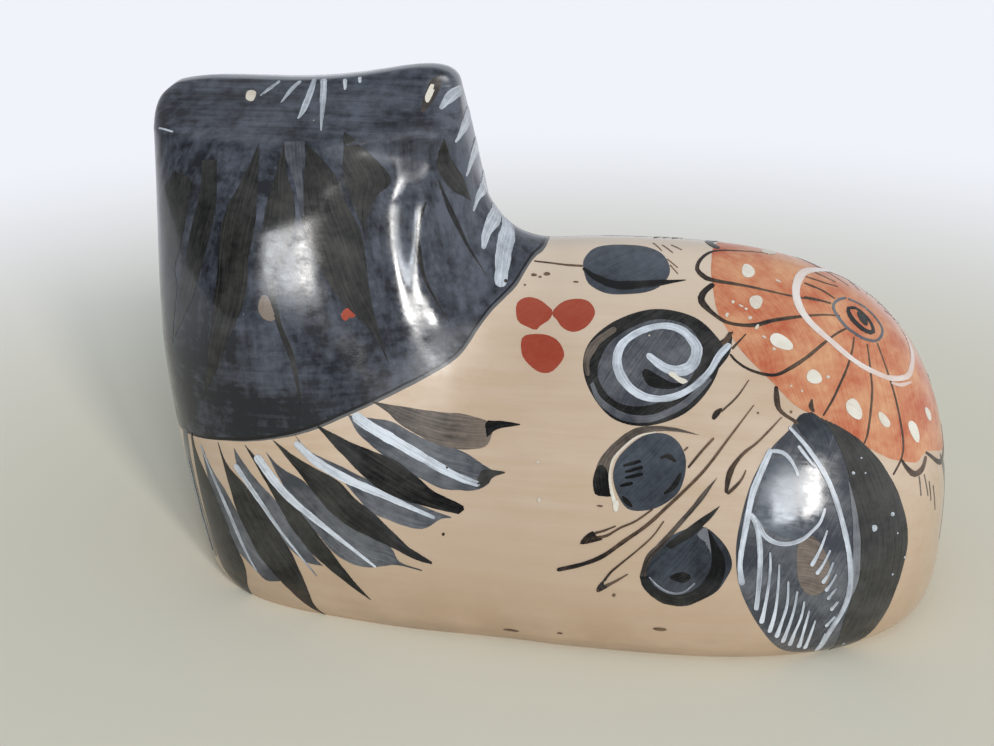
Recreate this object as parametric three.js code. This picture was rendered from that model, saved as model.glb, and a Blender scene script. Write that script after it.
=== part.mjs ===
// A burnished clay cat lying like a loaf, with its head turned to the side.
//
// The figure is hollow. Two pressed halves meet on the upright plane that runs through the
// ears, the spine and the rump. A rope of clay backs that joint, a flat slab closes the foot,
// and a second rope seals the slab to the walls. Lengths are in millimetres. +X runs from the
// rump to the chest, +Y is the flank that the cat turns its back of head to, -Y is the side
// that it looks to, and +Z is up. The origin is the middle of the foot, on the ground.

import * as THREE from 'three';

const WALL = 4.5;
const GAP = 0.3;
const SLAB_THICKNESS = 4.5;
const SEAM_ROPE_RADIUS = 2.6;
const FOOT_ROPE_RADIUS = 2.2;
const ROPE_CLEARANCE = 0.8;
const VENT = { x: -24, y: 7, radius: 4 };

// The lying body: a rounded loaf that is narrower towards its back.
const LOAF = {
  middle: -15.1, toRump: 50.5, toChest: 53.4, planPower: 2.63,
  waist: 11.9, toBack: 44.6, toFoot: 20.2, backPower: 2.5, footPower: 4,
  halfWidth: 36.2, narrowing: 0.57, narrowFrom: 8, narrowOver: 42.8,
};

// The raised head and chest: an upright block between a chest wall and a nape wall.
const HEAD = {
  chestWall: 65.1, chestHeight: 45, flare: 0.45, flareOver: 27, tuck: 2.2, tuckOver: 30,
  napeWall: 12.2, napeHeight: 63, napeLean: 0.18,
  planPower: 2.5, sectionPower: 2.3, ridgeRound: 3,
  crown: 78.95, crownFrom: 21.9, crownSpan: 40, napeEar: 5.35, chestEar: 4.55,
  napeCorner: 5, chestCorner: 9, cornerFrom: 27.9, cornerTo: 52.9,
  crest: 81, crease: 74, ridgeDepth: 2.5, bottom: -8,
};

// The back of the head: a sloped band under the crown, then a swelling beside a flatter plate,
// with the shallow hollows and swells that the thumb left on it.
const NAPE = {
  creaseDepth: 12.3, fullDepth: 28.1, swellOver: 36.7, bandPower: 1.15,
  bulgeX: 50.9, bulgeWidth: 23.2, bulgeGrowth: 9.5, bulgePower: 5.35, growFrom: 64, growTo: 30,
  plate: 0.63, plateLow: 8, plateHigh: 50, joinLow: 65.2, joinHigh: 76.3,
};
const NAPE_RELIEF = [
  { rise: -1.8, x: 25, width: 8.8, z: 72.8, height: 2.5 },
  { rise: 2.1, x: 46.6, width: 10.8, z: 65.8, height: 5.7 },
  { rise: 1.1, x: 19.6, width: 3, z: 60.3, height: 13.2 },
  { rise: -1.4, x: 30.2, width: 6.8, z: 44.2, height: 11.7 },
  { rise: -2.9, x: 18.3, width: 7.7, z: 70.4, height: 3.5 },
  { rise: 3, x: 14.8, width: 4.5, z: 47.9, height: 5.9 },
  { rise: 3.2, x: 46.4, width: 7.7, z: 55.9, height: 11.8 },
];

// The face: the same band, then brow, cheeks, muzzle, throat and breast as low relief.
const FACE = { middle: 39, creaseDepth: 11.5, fullDepth: 28, swellOver: 38, bandPower: 1.1 };
const FACE_RELIEF = [
  { rise: 2.0, x: 14, width: 8, z: 53, height: 9 },
  { rise: 4.2, x: 0, width: 11, z: 51, height: 8 },
  { rise: 1.2, x: 4.2, width: 4, z: 49, height: 4 },
  { rise: 1.4, x: 0, width: 4, z: 60, height: 8 },
  { rise: -1.3, x: 11.5, width: 5.5, z: 62, height: 4.5 },
  { rise: -2.5, x: 0, width: 18, z: 38, height: 6 },
  { rise: 2.5, x: 0, width: 18, z: 20, height: 14 },
];

const NECK_BLEND = 10.6;
const FOOT = { tuck: 0.6, height: 3 };
const HUB = { x: 28, z: 30 };
const COLUMNS = 80;
const OUTER_ROWS = 20;
const INNER_ROWS = 9;

const { clamp, smoothstep } = THREE.MathUtils;
const step = (low, high, value) => smoothstep(value, low, high);

/** Smooth lesser of two values, blended where they differ by less than the reach. */
function blendMin(a, b, reach) {
  const share = clamp(0.5 + (0.5 * (b - a)) / reach, 0, 1);
  return b + (a - b) * share - reach * share * (1 - share);
}

const blendMax = (a, b, reach) => -blendMin(-a, -b, reach);

/** Rounded box form: a sum of powers, brought back to a length by the scale. */
const powerField = (sum, scale) => (Math.max(sum, 1e-12) ** 0.4 - 1) * scale;

function loafField(x, y, z) {
  const reach = x < LOAF.middle ? LOAF.toRump : LOAF.toChest;
  const above = z > LOAF.waist;
  const rise = above ? LOAF.toBack : LOAF.toFoot;
  const risePower = above ? LOAF.backPower : LOAF.footPower;
  const height = Math.max(z - LOAF.narrowFrom, 0) / LOAF.narrowOver;
  const half = LOAF.halfWidth * (1 - LOAF.narrowing * Math.min(height, 1.3) ** 1.5);
  const sum = Math.abs((x - LOAF.middle) / reach) ** LOAF.planPower
    + Math.abs((z - LOAF.waist) / rise) ** risePower
    + Math.abs(y / half) ** LOAF.planPower;
  return powerField(sum, 30);
}

/** Depth from the parting plane of a sloped crown band over a swelling face or nape. */
function profileDepth(z, side) {
  if (z > HEAD.crease) {
    const fall = clamp((HEAD.crest - z) / (HEAD.crest - HEAD.crease), 0, 1);
    return HEAD.ridgeDepth + (side.creaseDepth - HEAD.ridgeDepth) * fall ** side.bandPower;
  }
  const fall = clamp((HEAD.crease - z) / side.swellOver, 0, 1);
  return side.creaseDepth + (side.fullDepth - side.creaseDepth) * Math.sin(fall * Math.PI / 2);
}

/** A depth with the bell-shaped rises and hollows of a relief added to it. */
function relieved(depth, relief, across, z) {
  return relief.reduce((total, form) => {
    const u = (across - form.x) / form.width;
    const v = (z - form.z) / form.height;
    return total + form.rise * Math.exp(-u * u - v * v);
  }, depth);
}

function napeDepth(x, z) {
  const width = NAPE.bulgeWidth + NAPE.bulgeGrowth * (1 - step(NAPE.growTo, NAPE.growFrom, z));
  const bulge = Math.exp(-(Math.abs((x - NAPE.bulgeX) / width) ** NAPE.bulgePower));
  let plate = 1 - (1 - NAPE.plate) * step(NAPE.plateLow, NAPE.plateHigh, z);
  plate += (1 - plate) * step(NAPE.joinLow, NAPE.joinHigh, z);
  return relieved(profileDepth(z, NAPE) * (plate + (1 - plate) * bulge), NAPE_RELIEF, x, z);
}

const faceDepth = (x, z) =>
  relieved(profileDepth(z, FACE), FACE_RELIEF, Math.abs(x - FACE.middle), z);

function headField(x, y, z) {
  const aboveChest = (z - HEAD.chestHeight) / (z > HEAD.chestHeight ? HEAD.flareOver : HEAD.tuckOver);
  const lean = z > HEAD.chestHeight ? HEAD.flare : -HEAD.tuck;
  const chest = HEAD.chestWall + lean * aboveChest ** 2;
  const nape = HEAD.napeWall + HEAD.napeLean * (z - HEAD.napeHeight);
  const depth = y > 0 ? napeDepth(x, z) : faceDepth(x, z);
  const across = Math.hypot(y, HEAD.ridgeRound) - HEAD.ridgeRound;
  const sum = Math.abs((2 * x - chest - nape) / (chest - nape)) ** HEAD.planPower
    + (across / depth) ** HEAD.sectionPower;
  const block = powerField(sum, Math.min(24, depth + 8));
  const u = (x - HEAD.crownFrom) / HEAD.crownSpan;
  const crown = HEAD.crown + HEAD.napeEar * clamp(1 - u, 0, 1.3) ** 2 + HEAD.chestEar * clamp(u, 0, 1) ** 2;
  const cornerShare = step(HEAD.cornerFrom, HEAD.cornerTo, x);
  const corner = HEAD.napeCorner + (HEAD.chestCorner - HEAD.napeCorner) * cornerShare;
  return blendMax(blendMax(block, z - crown, corner), HEAD.bottom - z, 3);
}

/** Below zero inside the figure, zero on its skin, before the foot is rounded. */
const figureField = (x, y, z) => blendMin(loafField(x, y, z), headField(x, y, z), NECK_BLEND);

/** The outer skin, drawn in a little where the foot meets the ground. */
const skinField = (x, y, z) =>
  figureField(x, y, z) + FOOT.tuck * (1 - clamp(z / FOOT.height, 0, 1)) ** 2;

/** Depth of clay: the figure's field over its own slope, so that one unit is one millimetre. */
function depthField(x, y, z) {
  const h = 0.2;
  const slope = Math.hypot(
    figureField(x + h, y, z) - figureField(x - h, y, z),
    figureField(x, y + h, z) - figureField(x, y - h, z),
    figureField(x, y, z + h) - figureField(x, y, z - h),
  ) / (2 * h);
  return figureField(x, y, z) / Math.max(slope, 0.2);
}

const clayAt = (depth) => (x, y, z) => depthField(x, y, z) + depth;

/** Walks inwards from far to near until the surface is crossed, then halves the last stride. */
function firstInside(value, far, near, stride) {
  let outside = far;
  let inside = far;
  while (value(inside) > 0) {
    outside = inside;
    inside -= stride;
    if (inside < near) return near;
  }
  for (let i = 0; i < 30; i += 1) {
    const middle = (inside + outside) / 2;
    if (value(middle) > 0) outside = middle;
    else inside = middle;
  }
  return (inside + outside) / 2;
}

/** Where the surface meets the ground line at the rump (-1) or the chest (+1). */
function groundEnd(surface, direction, z = 0) {
  return direction * firstInside((r) => surface(direction * r, 0, z), 90, 20, 0.5);
}

/** The outline on the parting plane, from the rump over the back and crown to the chest. */
function outline(surface, z = 0) {
  const start = Math.atan2(z - HUB.z, groundEnd(surface, -1, z) - HUB.x) + 2 * Math.PI;
  const end = Math.atan2(z - HUB.z, groundEnd(surface, 1, z) - HUB.x);
  return (share) => {
    const angle = start + (end - start) * share;
    const dx = Math.cos(angle);
    const dz = Math.sin(angle);
    const radius = firstInside((r) => surface(HUB.x + r * dx, 0, HUB.z + r * dz), 110, 5, 0.25);
    return new THREE.Vector2(HUB.x + radius * dx, HUB.z + radius * dz);
  };
}

/** Shares of the hub's turn that cut the skin's outline into columns of like length. */
function evenShares(count) {
  const edge = outline(skinField);
  const fine = 900;
  const lengths = [0];
  let last = edge(0);
  for (let i = 1; i <= fine; i += 1) {
    const next = edge(i / fine);
    lengths.push(lengths[i - 1] + next.distanceTo(last));
    last = next;
  }
  const shares = [];
  let i = 0;
  for (let column = 0; column <= count; column += 1) {
    const wanted = (lengths[fine] * column) / count;
    while (i < fine - 1 && lengths[i + 1] < wanted) i += 1;
    shares.push((i + (wanted - lengths[i]) / (lengths[i + 1] - lengths[i])) / fine);
  }
  return shares;
}

/** Steps that bunch up at both ends, fully eased or only in part. */
const easedShare = (share, ease = 1) =>
  share + ease * (0.5 - 0.5 * Math.cos(Math.PI * share) - share);

/**
 * One side of a pressed half: columns run from the outline on the parting plane down to the
 * ground line, and each point stands off that plane by the depth of the surface there.
 */
function reliefGrid(surface, side, shares, rows) {
  const edge = outline(surface);
  const rump = groundEnd(surface, -1);
  const chest = groundEnd(surface, 1);
  const seam = GAP / 2;
  return shares.map((share, column) => {
    const top = edge(share);
    const foot = new THREE.Vector2(rump + (chest - rump) * easedShare(column / COLUMNS), 0);
    const points = [];
    for (let row = 0; row <= rows; row += 1) {
      const at = top.clone().lerp(foot, easedShare(row / rows, 0.6));
      if (row === 0 || column === 0 || column === COLUMNS) {
        if (row !== 0) at.copy(foot);
        points.push([at.x, side * seam, at.y]);
      } else {
        const depth = firstInside((y) => surface(at.x, side * y, at.y), 48, seam, 0.5);
        points.push([at.x, side * depth, at.y]);
      }
    }
    return points;
  });
}

/** Joins rings of points into one closed body with its faces out. */
class BodyMesh {
  constructor(flip) {
    this.positions = [];
    this.flip = flip;
  }

  triangle(a, b, c) {
    const same = (p, q) => Math.hypot(p[0] - q[0], p[1] - q[1], p[2] - q[2]) < 1e-7;
    if (same(a, b) || same(b, c) || same(c, a)) return;
    this.positions.push(...a, ...(this.flip ? c : b), ...(this.flip ? b : c));
  }

  quad(a, b, c, d) {
    this.triangle(a, b, c);
    this.triangle(a, c, d);
  }

  geometry() {
    const geometry = new THREE.BufferGeometry();
    geometry.setAttribute('position', new THREE.Float32BufferAttribute(this.positions, 3));
    geometry.computeVertexNormals();
    return geometry;
  }
}

/** A pressed half: skin, inner face, the seam rim between them and the foot rim. */
function halfShell(side, shares) {
  const outer = reliefGrid(skinField, side, shares, OUTER_ROWS);
  const inner = reliefGrid(clayAt(WALL), side, shares, INNER_ROWS);
  const body = new BodyMesh(side < 0);
  for (let c = 0; c < COLUMNS; c += 1) {
    for (let r = 0; r < OUTER_ROWS; r += 1) {
      body.quad(outer[c][r], outer[c + 1][r], outer[c + 1][r + 1], outer[c][r + 1]);
    }
    for (let r = 0; r < INNER_ROWS; r += 1) {
      body.quad(inner[c][r], inner[c][r + 1], inner[c + 1][r + 1], inner[c + 1][r]);
    }
    body.quad(outer[c][0], inner[c][0], inner[c + 1][0], outer[c + 1][0]);
    const o = OUTER_ROWS;
    const i = INNER_ROWS;
    body.quad(outer[c][o], outer[c + 1][o], inner[c + 1][i], inner[c][i]);
  }
  return body.geometry();
}

/** Points of the closed plan line at one height and one depth of clay, anticlockwise. */
function planLine(depth, z, count) {
  const surface = clayAt(depth);
  const rump = groundEnd(surface, -1, z);
  const chest = groundEnd(surface, 1, z);
  const points = [];
  for (let i = 0; i < 2 * count; i += 1) {
    const side = i < count ? -1 : 1;
    const share = easedShare((i % count) / count);
    const x = side < 0 ? rump + (chest - rump) * share : chest + (rump - chest) * share;
    const y = i % count === 0 ? 0 : firstInside((v) => surface(x, side * v, z), 48, 0, 0.5);
    points.push(new THREE.Vector2(x, side * y));
  }
  return points;
}

function baseSlab() {
  const shape = new THREE.Shape(planLine(WALL + GAP, 0, 32));
  const hole = new THREE.Path();
  hole.absarc(VENT.x, VENT.y, VENT.radius, 0, 2 * Math.PI, true);
  shape.holes.push(hole);
  return new THREE.ExtrudeGeometry(shape, {
    depth: SLAB_THICKNESS, bevelEnabled: false, curveSegments: 20,
  });
}

/** A round rope of clay laid along a line of points. */
function rope(points, radius, steps) {
  const section = new THREE.Shape();
  section.absellipse(0, 0, radius, radius, 0, 2 * Math.PI, false);
  return new THREE.ExtrudeGeometry(section, {
    extrudePath: new THREE.CatmullRomCurve3(points), steps, curveSegments: 4, bevelEnabled: false,
  });
}

/** Backs the seam from the foot rope at the rump, over the back and crown, to the chest. */
function seamRope() {
  const start = SLAB_THICKNESS + 2 * FOOT_ROPE_RADIUS + 2 * GAP;
  const edge = outline(clayAt(WALL + ROPE_CLEARANCE + SEAM_ROPE_RADIUS), start);
  const count = 40;
  const points = [];
  for (let i = 0; i <= count; i += 1) {
    const at = edge(i / count);
    points.push(new THREE.Vector3(at.x, 0, at.y));
  }
  return rope(points, SEAM_ROPE_RADIUS, 64);
}

/** Lies in the corner between the slab and the walls, its two ends butted at the flank. */
function footRope() {
  const z = SLAB_THICKNESS + GAP + FOOT_ROPE_RADIUS;
  const ring = planLine(WALL + ROPE_CLEARANCE + FOOT_ROPE_RADIUS, z, 26);
  const start = 13;
  const points = ring.map((_, i) => {
    const at = ring[(i + start) % ring.length];
    return new THREE.Vector3(at.x, at.y, z);
  });
  const end = points[0].clone().lerp(points[points.length - 1], 0.1);
  return rope([...points, end], FOOT_ROPE_RADIUS, 72);
}

const burnishedClay = new THREE.MeshStandardMaterial({ color: 0xd0ab87, roughness: 0.28, metalness: 0 });
const bareClay = new THREE.MeshStandardMaterial({ color: 0xb88a66, roughness: 0.85, metalness: 0 });

function piece(name, geometry, material) {
  const mesh = new THREE.Mesh(geometry, material);
  mesh.name = name;
  return mesh;
}

const shares = evenShares(COLUMNS);
const cat = new THREE.Group();
cat.add(
  piece('left_half_shell', halfShell(1, shares), burnishedClay),
  piece('right_half_shell', halfShell(-1, shares), burnishedClay),
  piece('base_slab', baseSlab(), bareClay),
  piece('seam_coil', seamRope(), bareClay),
  piece('base_coil', footRope(), bareClay),
);

export default cat;
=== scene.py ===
# %% [markdown]
# # A burnished clay cat
# The real figure is a hollow cat of low-fired clay. Its two pressed halves were joined, painted
# with coloured slips and rubbed with a stone until they shone, and only then fired. The CAD
# model holds the pieces of clay. This lesson gives them a smooth skin, the painted coats and the
# shine. Lengths are worked out in millimetres and become metres when a mesh is made.

import bpy
import numpy as np
from mathutils import Matrix


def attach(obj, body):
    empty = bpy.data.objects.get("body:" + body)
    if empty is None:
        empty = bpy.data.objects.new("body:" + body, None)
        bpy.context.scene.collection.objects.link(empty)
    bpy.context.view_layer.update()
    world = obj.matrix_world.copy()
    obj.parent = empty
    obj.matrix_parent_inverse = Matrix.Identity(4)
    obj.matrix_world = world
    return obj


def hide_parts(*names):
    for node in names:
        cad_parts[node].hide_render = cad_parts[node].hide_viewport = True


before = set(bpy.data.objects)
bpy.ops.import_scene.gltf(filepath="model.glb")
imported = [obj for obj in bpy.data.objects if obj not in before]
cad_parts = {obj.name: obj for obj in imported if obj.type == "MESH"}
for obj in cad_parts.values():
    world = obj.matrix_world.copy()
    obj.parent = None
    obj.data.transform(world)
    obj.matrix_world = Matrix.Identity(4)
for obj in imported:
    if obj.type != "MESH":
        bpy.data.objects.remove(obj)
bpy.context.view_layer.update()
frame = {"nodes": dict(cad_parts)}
MM = 0.001
print("CAD nodes:", ", ".join(frame["nodes"]))

# %% [markdown]
# ## The camera
# The photograph looks down on the cat's flank from a hand's height above its back. The camera is
# written as a place and three angles, so that the same numbers can also turn a pixel of the
# photograph into a line of sight. The painted motifs are placed with such lines.

# %% Camera
IMAGE_WIDTH, IMAGE_HEIGHT = 994, 746
FOCAL_PIXELS = 1300.0
SENSOR_WIDTH = 36.0
CAMERA_PLACE = np.array([-22.4, 203.99, 120.0])
CAMERA_TURN, CAMERA_PITCH, CAMERA_ROLL = np.radians([9.0, 23.23, 0.36])


def camera_axes():
    """Right, down and ahead: a level look turned about Z, pitched down, then rolled."""
    level = np.array([np.sin(CAMERA_TURN), -np.cos(CAMERA_TURN), 0.0])
    up = np.array([0.0, 0.0, 1.0])
    ahead = level * np.cos(CAMERA_PITCH) - up * np.sin(CAMERA_PITCH)
    down = -level * np.sin(CAMERA_PITCH) - up * np.cos(CAMERA_PITCH)
    right = np.cross(level, up)
    turn, lean = np.cos(CAMERA_ROLL), np.sin(CAMERA_ROLL)
    return right * turn + down * lean, down * turn - right * lean, ahead


RIGHT, DOWN, AHEAD = camera_axes()
camera = bpy.data.objects.new("camera", bpy.data.cameras.new("camera"))
camera.data.sensor_width = SENSOR_WIDTH
camera.data.lens = FOCAL_PIXELS / IMAGE_WIDTH * SENSOR_WIDTH
camera.data.clip_start = 0.01
axes = np.eye(4)
axes[:3, 0], axes[:3, 1], axes[:3, 2] = RIGHT, -DOWN, -AHEAD
axes[:3, 3] = CAMERA_PLACE * MM
camera.matrix_world = Matrix(axes.tolist())
bpy.context.scene.collection.objects.link(camera)
bpy.context.scene.camera = camera
print("lens", round(camera.data.lens, 2), "mm, looking along", np.round(AHEAD, 3))

# %% [markdown]
# ## The form of the figure
# The pressed halves follow one formula: a value that is below zero in the clay and zero on its
# skin. A lying loaf and an upright head block are rounded boxes, each a sum of powers, and a
# smooth lesser of the two makes the neck. The same sizes shape the CAD solids.

# %% Sizes of the loaf, the head and the face
LOAF = dict(
    middle=-15.1, to_rump=50.5, to_chest=53.4, plan_power=2.63,
    waist=11.9, to_back=44.6, to_foot=20.2, back_power=2.5, foot_power=4.0,
    half_width=36.2, narrowing=0.57, narrow_from=8.0, narrow_over=42.8,
)
HEAD = dict(
    chest_wall=65.1, chest_height=45.0, flare=0.45, flare_over=27.0, tuck=2.2, tuck_over=30.0,
    nape_wall=12.2, nape_height=63.0, nape_lean=0.18, plan_power=2.5, section_power=2.3,
    ridge_round=3.0, crown=78.95, crown_from=21.9, crown_span=40.0, nape_ear=5.35, chest_ear=4.55,
    nape_corner=5.0, chest_corner=9.0, corner_from=27.9, corner_to=52.9,
    crest=81.0, crease=74.0, ridge_depth=2.5, bottom=-8.0,
)
NAPE = dict(
    crease_depth=12.3, full_depth=28.1, swell_over=36.7, band_power=1.15, bulge_x=50.9,
    bulge_width=23.2, bulge_growth=9.5, bulge_power=5.35, grow_from=64.0, grow_to=30.0,
    plate=0.63, plate_low=8.0, plate_high=50.0, join_low=65.2, join_high=76.3,
)
FACE = dict(middle=39.0, crease_depth=11.5, full_depth=28.0, swell_over=38.0, band_power=1.1)
# In a relief: rise, place or distance from the face's middle, width, height above the ground, size.
NAPE_RELIEF = [
    (-1.8, 25.0, 8.8, 72.8, 2.5),
    (2.1, 46.6, 10.8, 65.8, 5.7),
    (1.1, 19.6, 3.0, 60.3, 13.2),
    (-1.4, 30.2, 6.8, 44.2, 11.7),
    (-2.9, 18.3, 7.7, 70.4, 3.5),
    (3.0, 14.8, 4.5, 47.9, 5.9),
    (3.2, 46.4, 7.7, 55.9, 11.8),
]
FACE_RELIEF = [
    (2.0, 14.0, 8.0, 53.0, 9.0),
    (4.2, 0.0, 11.0, 51.0, 8.0),
    (1.2, 4.2, 4.0, 49.0, 4.0),
    (1.4, 0.0, 4.0, 60.0, 8.0),
    (-1.3, 11.5, 5.5, 62.0, 4.5),
    (-2.5, 0.0, 18.0, 38.0, 6.0),
    (2.5, 0.0, 18.0, 20.0, 14.0),
]
SEAM_BLEND = 4.0
NECK_BLEND = 10.6
FOOT_TUCK, FOOT_HEIGHT = 0.6, 3.0
WALL = 4.5
print("loaf:", LOAF["to_rump"] + LOAF["to_chest"], "mm long,", 2 * LOAF["half_width"], "mm wide")


# %% Soft steps and smooth joins
def eased(low, high, value):
    """Soft step: 0 below low, 1 above high, three squares less two cubes of the share between."""
    share = np.clip((value - low) / (high - low), 0, 1)
    return share * share * (3 - 2 * share)


def blend_min(a, b, reach):
    """Smooth lesser of two values, rounded where they differ by less than the reach."""
    share = np.clip(0.5 + 0.5 * (b - a) / reach, 0, 1)
    return b + (a - b) * share - reach * share * (1 - share)


def blend_max(a, b, reach):
    """Smooth greater of two values: the smooth lesser with both signs turned."""
    return -blend_min(-a, -b, reach)


def power_field(total, scale):
    """Rounded box: the sum of powers, to the power 0.4, less one, times a length."""
    return (np.maximum(total, 1e-12) ** 0.4 - 1) * scale


print("smooth lesser of 1 and 1.5:", blend_min(1.0, 1.5, 2.0))

# %% Lying body
LOAF_SCALE = 30.0


def loaf_field(x, y, z):
    """Lying body: powers of the distances from its middle over its reach, rise and half width."""
    f = LOAF
    reach = np.where(x < f["middle"], f["to_rump"], f["to_chest"])
    above = z > f["waist"]
    rise = np.where(above, f["to_back"], f["to_foot"])
    power = np.where(above, f["back_power"], f["foot_power"])
    height = np.clip((z - f["narrow_from"]) / f["narrow_over"], 0, 1.3)
    half = f["half_width"] * (1 - f["narrowing"] * height ** 1.5)
    total = np.abs((x - f["middle"]) / reach) ** f["plan_power"]
    total = total + np.abs((z - f["waist"]) / rise) ** power
    return power_field(total + np.abs(y / half) ** f["plan_power"], LOAF_SCALE)


print("loaf value on its axis:", round(float(loaf_field(0.0, 0.0, 20.0)), 1))


# %% Depths of the head
def profile_depth(z, side):
    """Depth from the parting plane: a sloped band under the crown, then a quarter sine swell."""
    band_fall = np.clip((HEAD["crest"] - z) / (HEAD["crest"] - HEAD["crease"]), 0, 1)
    ridge, crease = HEAD["ridge_depth"], side["crease_depth"]
    band = ridge + (crease - ridge) * band_fall ** side["band_power"]
    fall = np.clip((HEAD["crease"] - z) / side["swell_over"], 0, 1)
    swell = crease + (side["full_depth"] - crease) * np.sin(fall * np.pi / 2)
    return np.where(z > HEAD["crease"], band, swell)


def relieved(depth, relief, across, z):
    """A depth with the bell-shaped rises and hollows of a relief added to it."""
    for rise, middle, width, height, tall in relief:
        depth = depth + rise * np.exp(-((across - middle) / width) ** 2 - ((z - height) / tall) ** 2)
    return depth


def nape_depth(x, z):
    """Back of the head: the profile, full at the bulge and thinner at the plate beside it."""
    f = NAPE
    width = f["bulge_width"] + f["bulge_growth"] * (1 - eased(f["grow_to"], f["grow_from"], z))
    bulge = np.exp(-np.abs((x - f["bulge_x"]) / width) ** f["bulge_power"])
    plate = 1 - (1 - f["plate"]) * eased(f["plate_low"], f["plate_high"], z)
    plate = plate + (1 - plate) * eased(f["join_low"], f["join_high"], z)
    return relieved(profile_depth(z, f) * (plate + (1 - plate) * bulge), NAPE_RELIEF, x, z)


def face_depth(x, z):
    """Face: the profile with rises for cheeks, muzzle, brow and breast and hollows for the eyes."""
    return relieved(profile_depth(z, FACE), FACE_RELIEF, np.abs(x - FACE["middle"]), z)


print("depth of nape and muzzle:", round(float(nape_depth(FACE["middle"], 51.0)), 1),
      round(float(face_depth(FACE["middle"], 51.0)), 1), "mm")

# %% Head block
HEAD_SCALE, SCALE_MARGIN = 24.0, 8.0


def head_field(x, y, z):
    """Upright block between chest and nape walls, cut off by the dipped crown line."""
    f = HEAD
    rise = z - f["chest_height"]
    chest = f["chest_wall"] + np.where(
        rise > 0, f["flare"] * (rise / f["flare_over"]) ** 2, -f["tuck"] * (rise / f["tuck_over"]) ** 2)
    nape = f["nape_wall"] + f["nape_lean"] * (z - f["nape_height"])
    behind, before = nape_depth(x, z), face_depth(x, z)
    depth = np.where(y > 0, behind, before)
    scale = np.minimum(HEAD_SCALE, depth + SCALE_MARGIN)
    shared = np.minimum(HEAD_SCALE, (behind + before) / 2 + SCALE_MARGIN)
    scale = shared + (scale - shared) * eased(0, SEAM_BLEND, np.abs(y))
    across = np.hypot(y, f["ridge_round"]) - f["ridge_round"]
    total = np.abs((2 * x - chest - nape) / (chest - nape)) ** f["plan_power"]
    block = power_field(total + (across / depth) ** f["section_power"], scale)
    u = (x - f["crown_from"]) / f["crown_span"]
    crown = f["crown"] + f["nape_ear"] * np.clip(1 - u, 0, 1.3) ** 2
    crown = crown + f["chest_ear"] * np.clip(u, 0, 1) ** 2
    share = eased(f["corner_from"], f["corner_to"], x)
    corner = f["nape_corner"] + (f["chest_corner"] - f["nape_corner"]) * share
    return blend_max(blend_max(block, z - crown, corner), f["bottom"] - z, 3)


print("head value in its middle:", round(float(head_field(FACE["middle"], 0.0, 50.0)), 1))


# %% The skin and its slope
def figure_field(points):
    """Smooth lesser of the loaf and the head."""
    x, y, z = points[..., 0], points[..., 1], points[..., 2]
    return blend_min(loaf_field(x, y, z), head_field(x, y, z), NECK_BLEND)


def skin_field(points):
    """The figure, drawn in a little where the foot meets the ground."""
    return figure_field(points) + FOOT_TUCK * (1 - np.clip(points[..., 2] / FOOT_HEIGHT, 0, 1)) ** 2


def slope_of(field, points, reach=0.15):
    """Gradient from the field's values a short way to either side of each point."""
    steps = np.eye(3) * reach
    return np.stack([(field(points + s) - field(points - s)) / (2 * reach) for s in steps], axis=-1)


def depth_field(points):
    """Figure's field over the length of its slope, so that one unit is about one millimetre."""
    slope = np.linalg.norm(slope_of(figure_field, points, 0.2), axis=-1)
    return figure_field(points) / np.maximum(slope, 0.2)


def clay_at(depth):
    """Field of the surface that lies at a depth of clay under the skin."""
    return lambda points: depth_field(points) + depth


def on_clay(points, rounds=5):
    """Moves points to the skin and gives its outward normals. In each round a point goes back by
    the skin's value there, times the slope, over the slope's own square."""
    points = np.array(points, float)
    for _ in range(rounds):
        slope = slope_of(skin_field, points)
        square = np.maximum((slope ** 2).sum(-1, keepdims=True), 1e-4)
        points = points - np.clip(skin_field(points)[..., None] * slope / square, -2, 2)
    slope = slope_of(skin_field, points)
    return points, slope / np.linalg.norm(slope, axis=-1, keepdims=True)


print("skin value above the back:", round(float(skin_field(np.array([-20.0, 0, 60]))), 2))


# %% [markdown]
# ## From a pixel to the clay
# A motif is read from the photograph as a few pixels. Each one becomes a line of sight, which is
# walked until it enters the clay, and halving the last stride finds the skin.

# %% Lines of sight
NEAR, FAR, STRIDES = 110.0, 330.0, 700


def halved(solid_at, outer, inner, rounds=30):
    """Closes in on the skin between a place outside the clay and one inside it, by halving."""
    for _ in range(rounds):
        middle = (outer + inner) / 2
        deep = solid_at(middle)
        inner, outer = np.where(deep, middle, inner), np.where(deep, outer, middle)
    return inner


def seen(pixels):
    """Points on the clay under pixels; a line of sight that misses takes its nearest pass."""
    pixels = np.asarray(pixels, float)
    rays = FOCAL_PIXELS * AHEAD
    rays = rays + (pixels[:, :1] - IMAGE_WIDTH / 2) * RIGHT + (pixels[:, 1:] - IMAGE_HEIGHT / 2) * DOWN
    rays /= np.linalg.norm(rays, axis=1, keepdims=True)

    def solid(reach):
        """Skin value at a reach along the lines of sight, or the depth under the ground."""
        points = CAMERA_PLACE + reach[..., None] * rays
        return np.maximum(skin_field(points), -points[..., 2])

    reach = np.linspace(NEAR, FAR, STRIDES)[:, None] * np.ones(len(rays))
    values = solid(reach)
    inside = values < 0
    first = np.where(inside.any(0), inside.argmax(0), values.argmin(0))
    index = np.arange(len(rays))
    outer, inner = reach[np.maximum(first - 1, 0), index], reach[first, index]
    inner = halved(lambda middle: solid(middle) < 0, outer, inner, rounds=24)
    return on_clay(CAMERA_PLACE + inner[:, None] * rays, rounds=3)[0]


BACK_PIXEL = (640, 300)
print("pixel", BACK_PIXEL, "is the clay at", np.round(seen([BACK_PIXEL])[0], 1))


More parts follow.
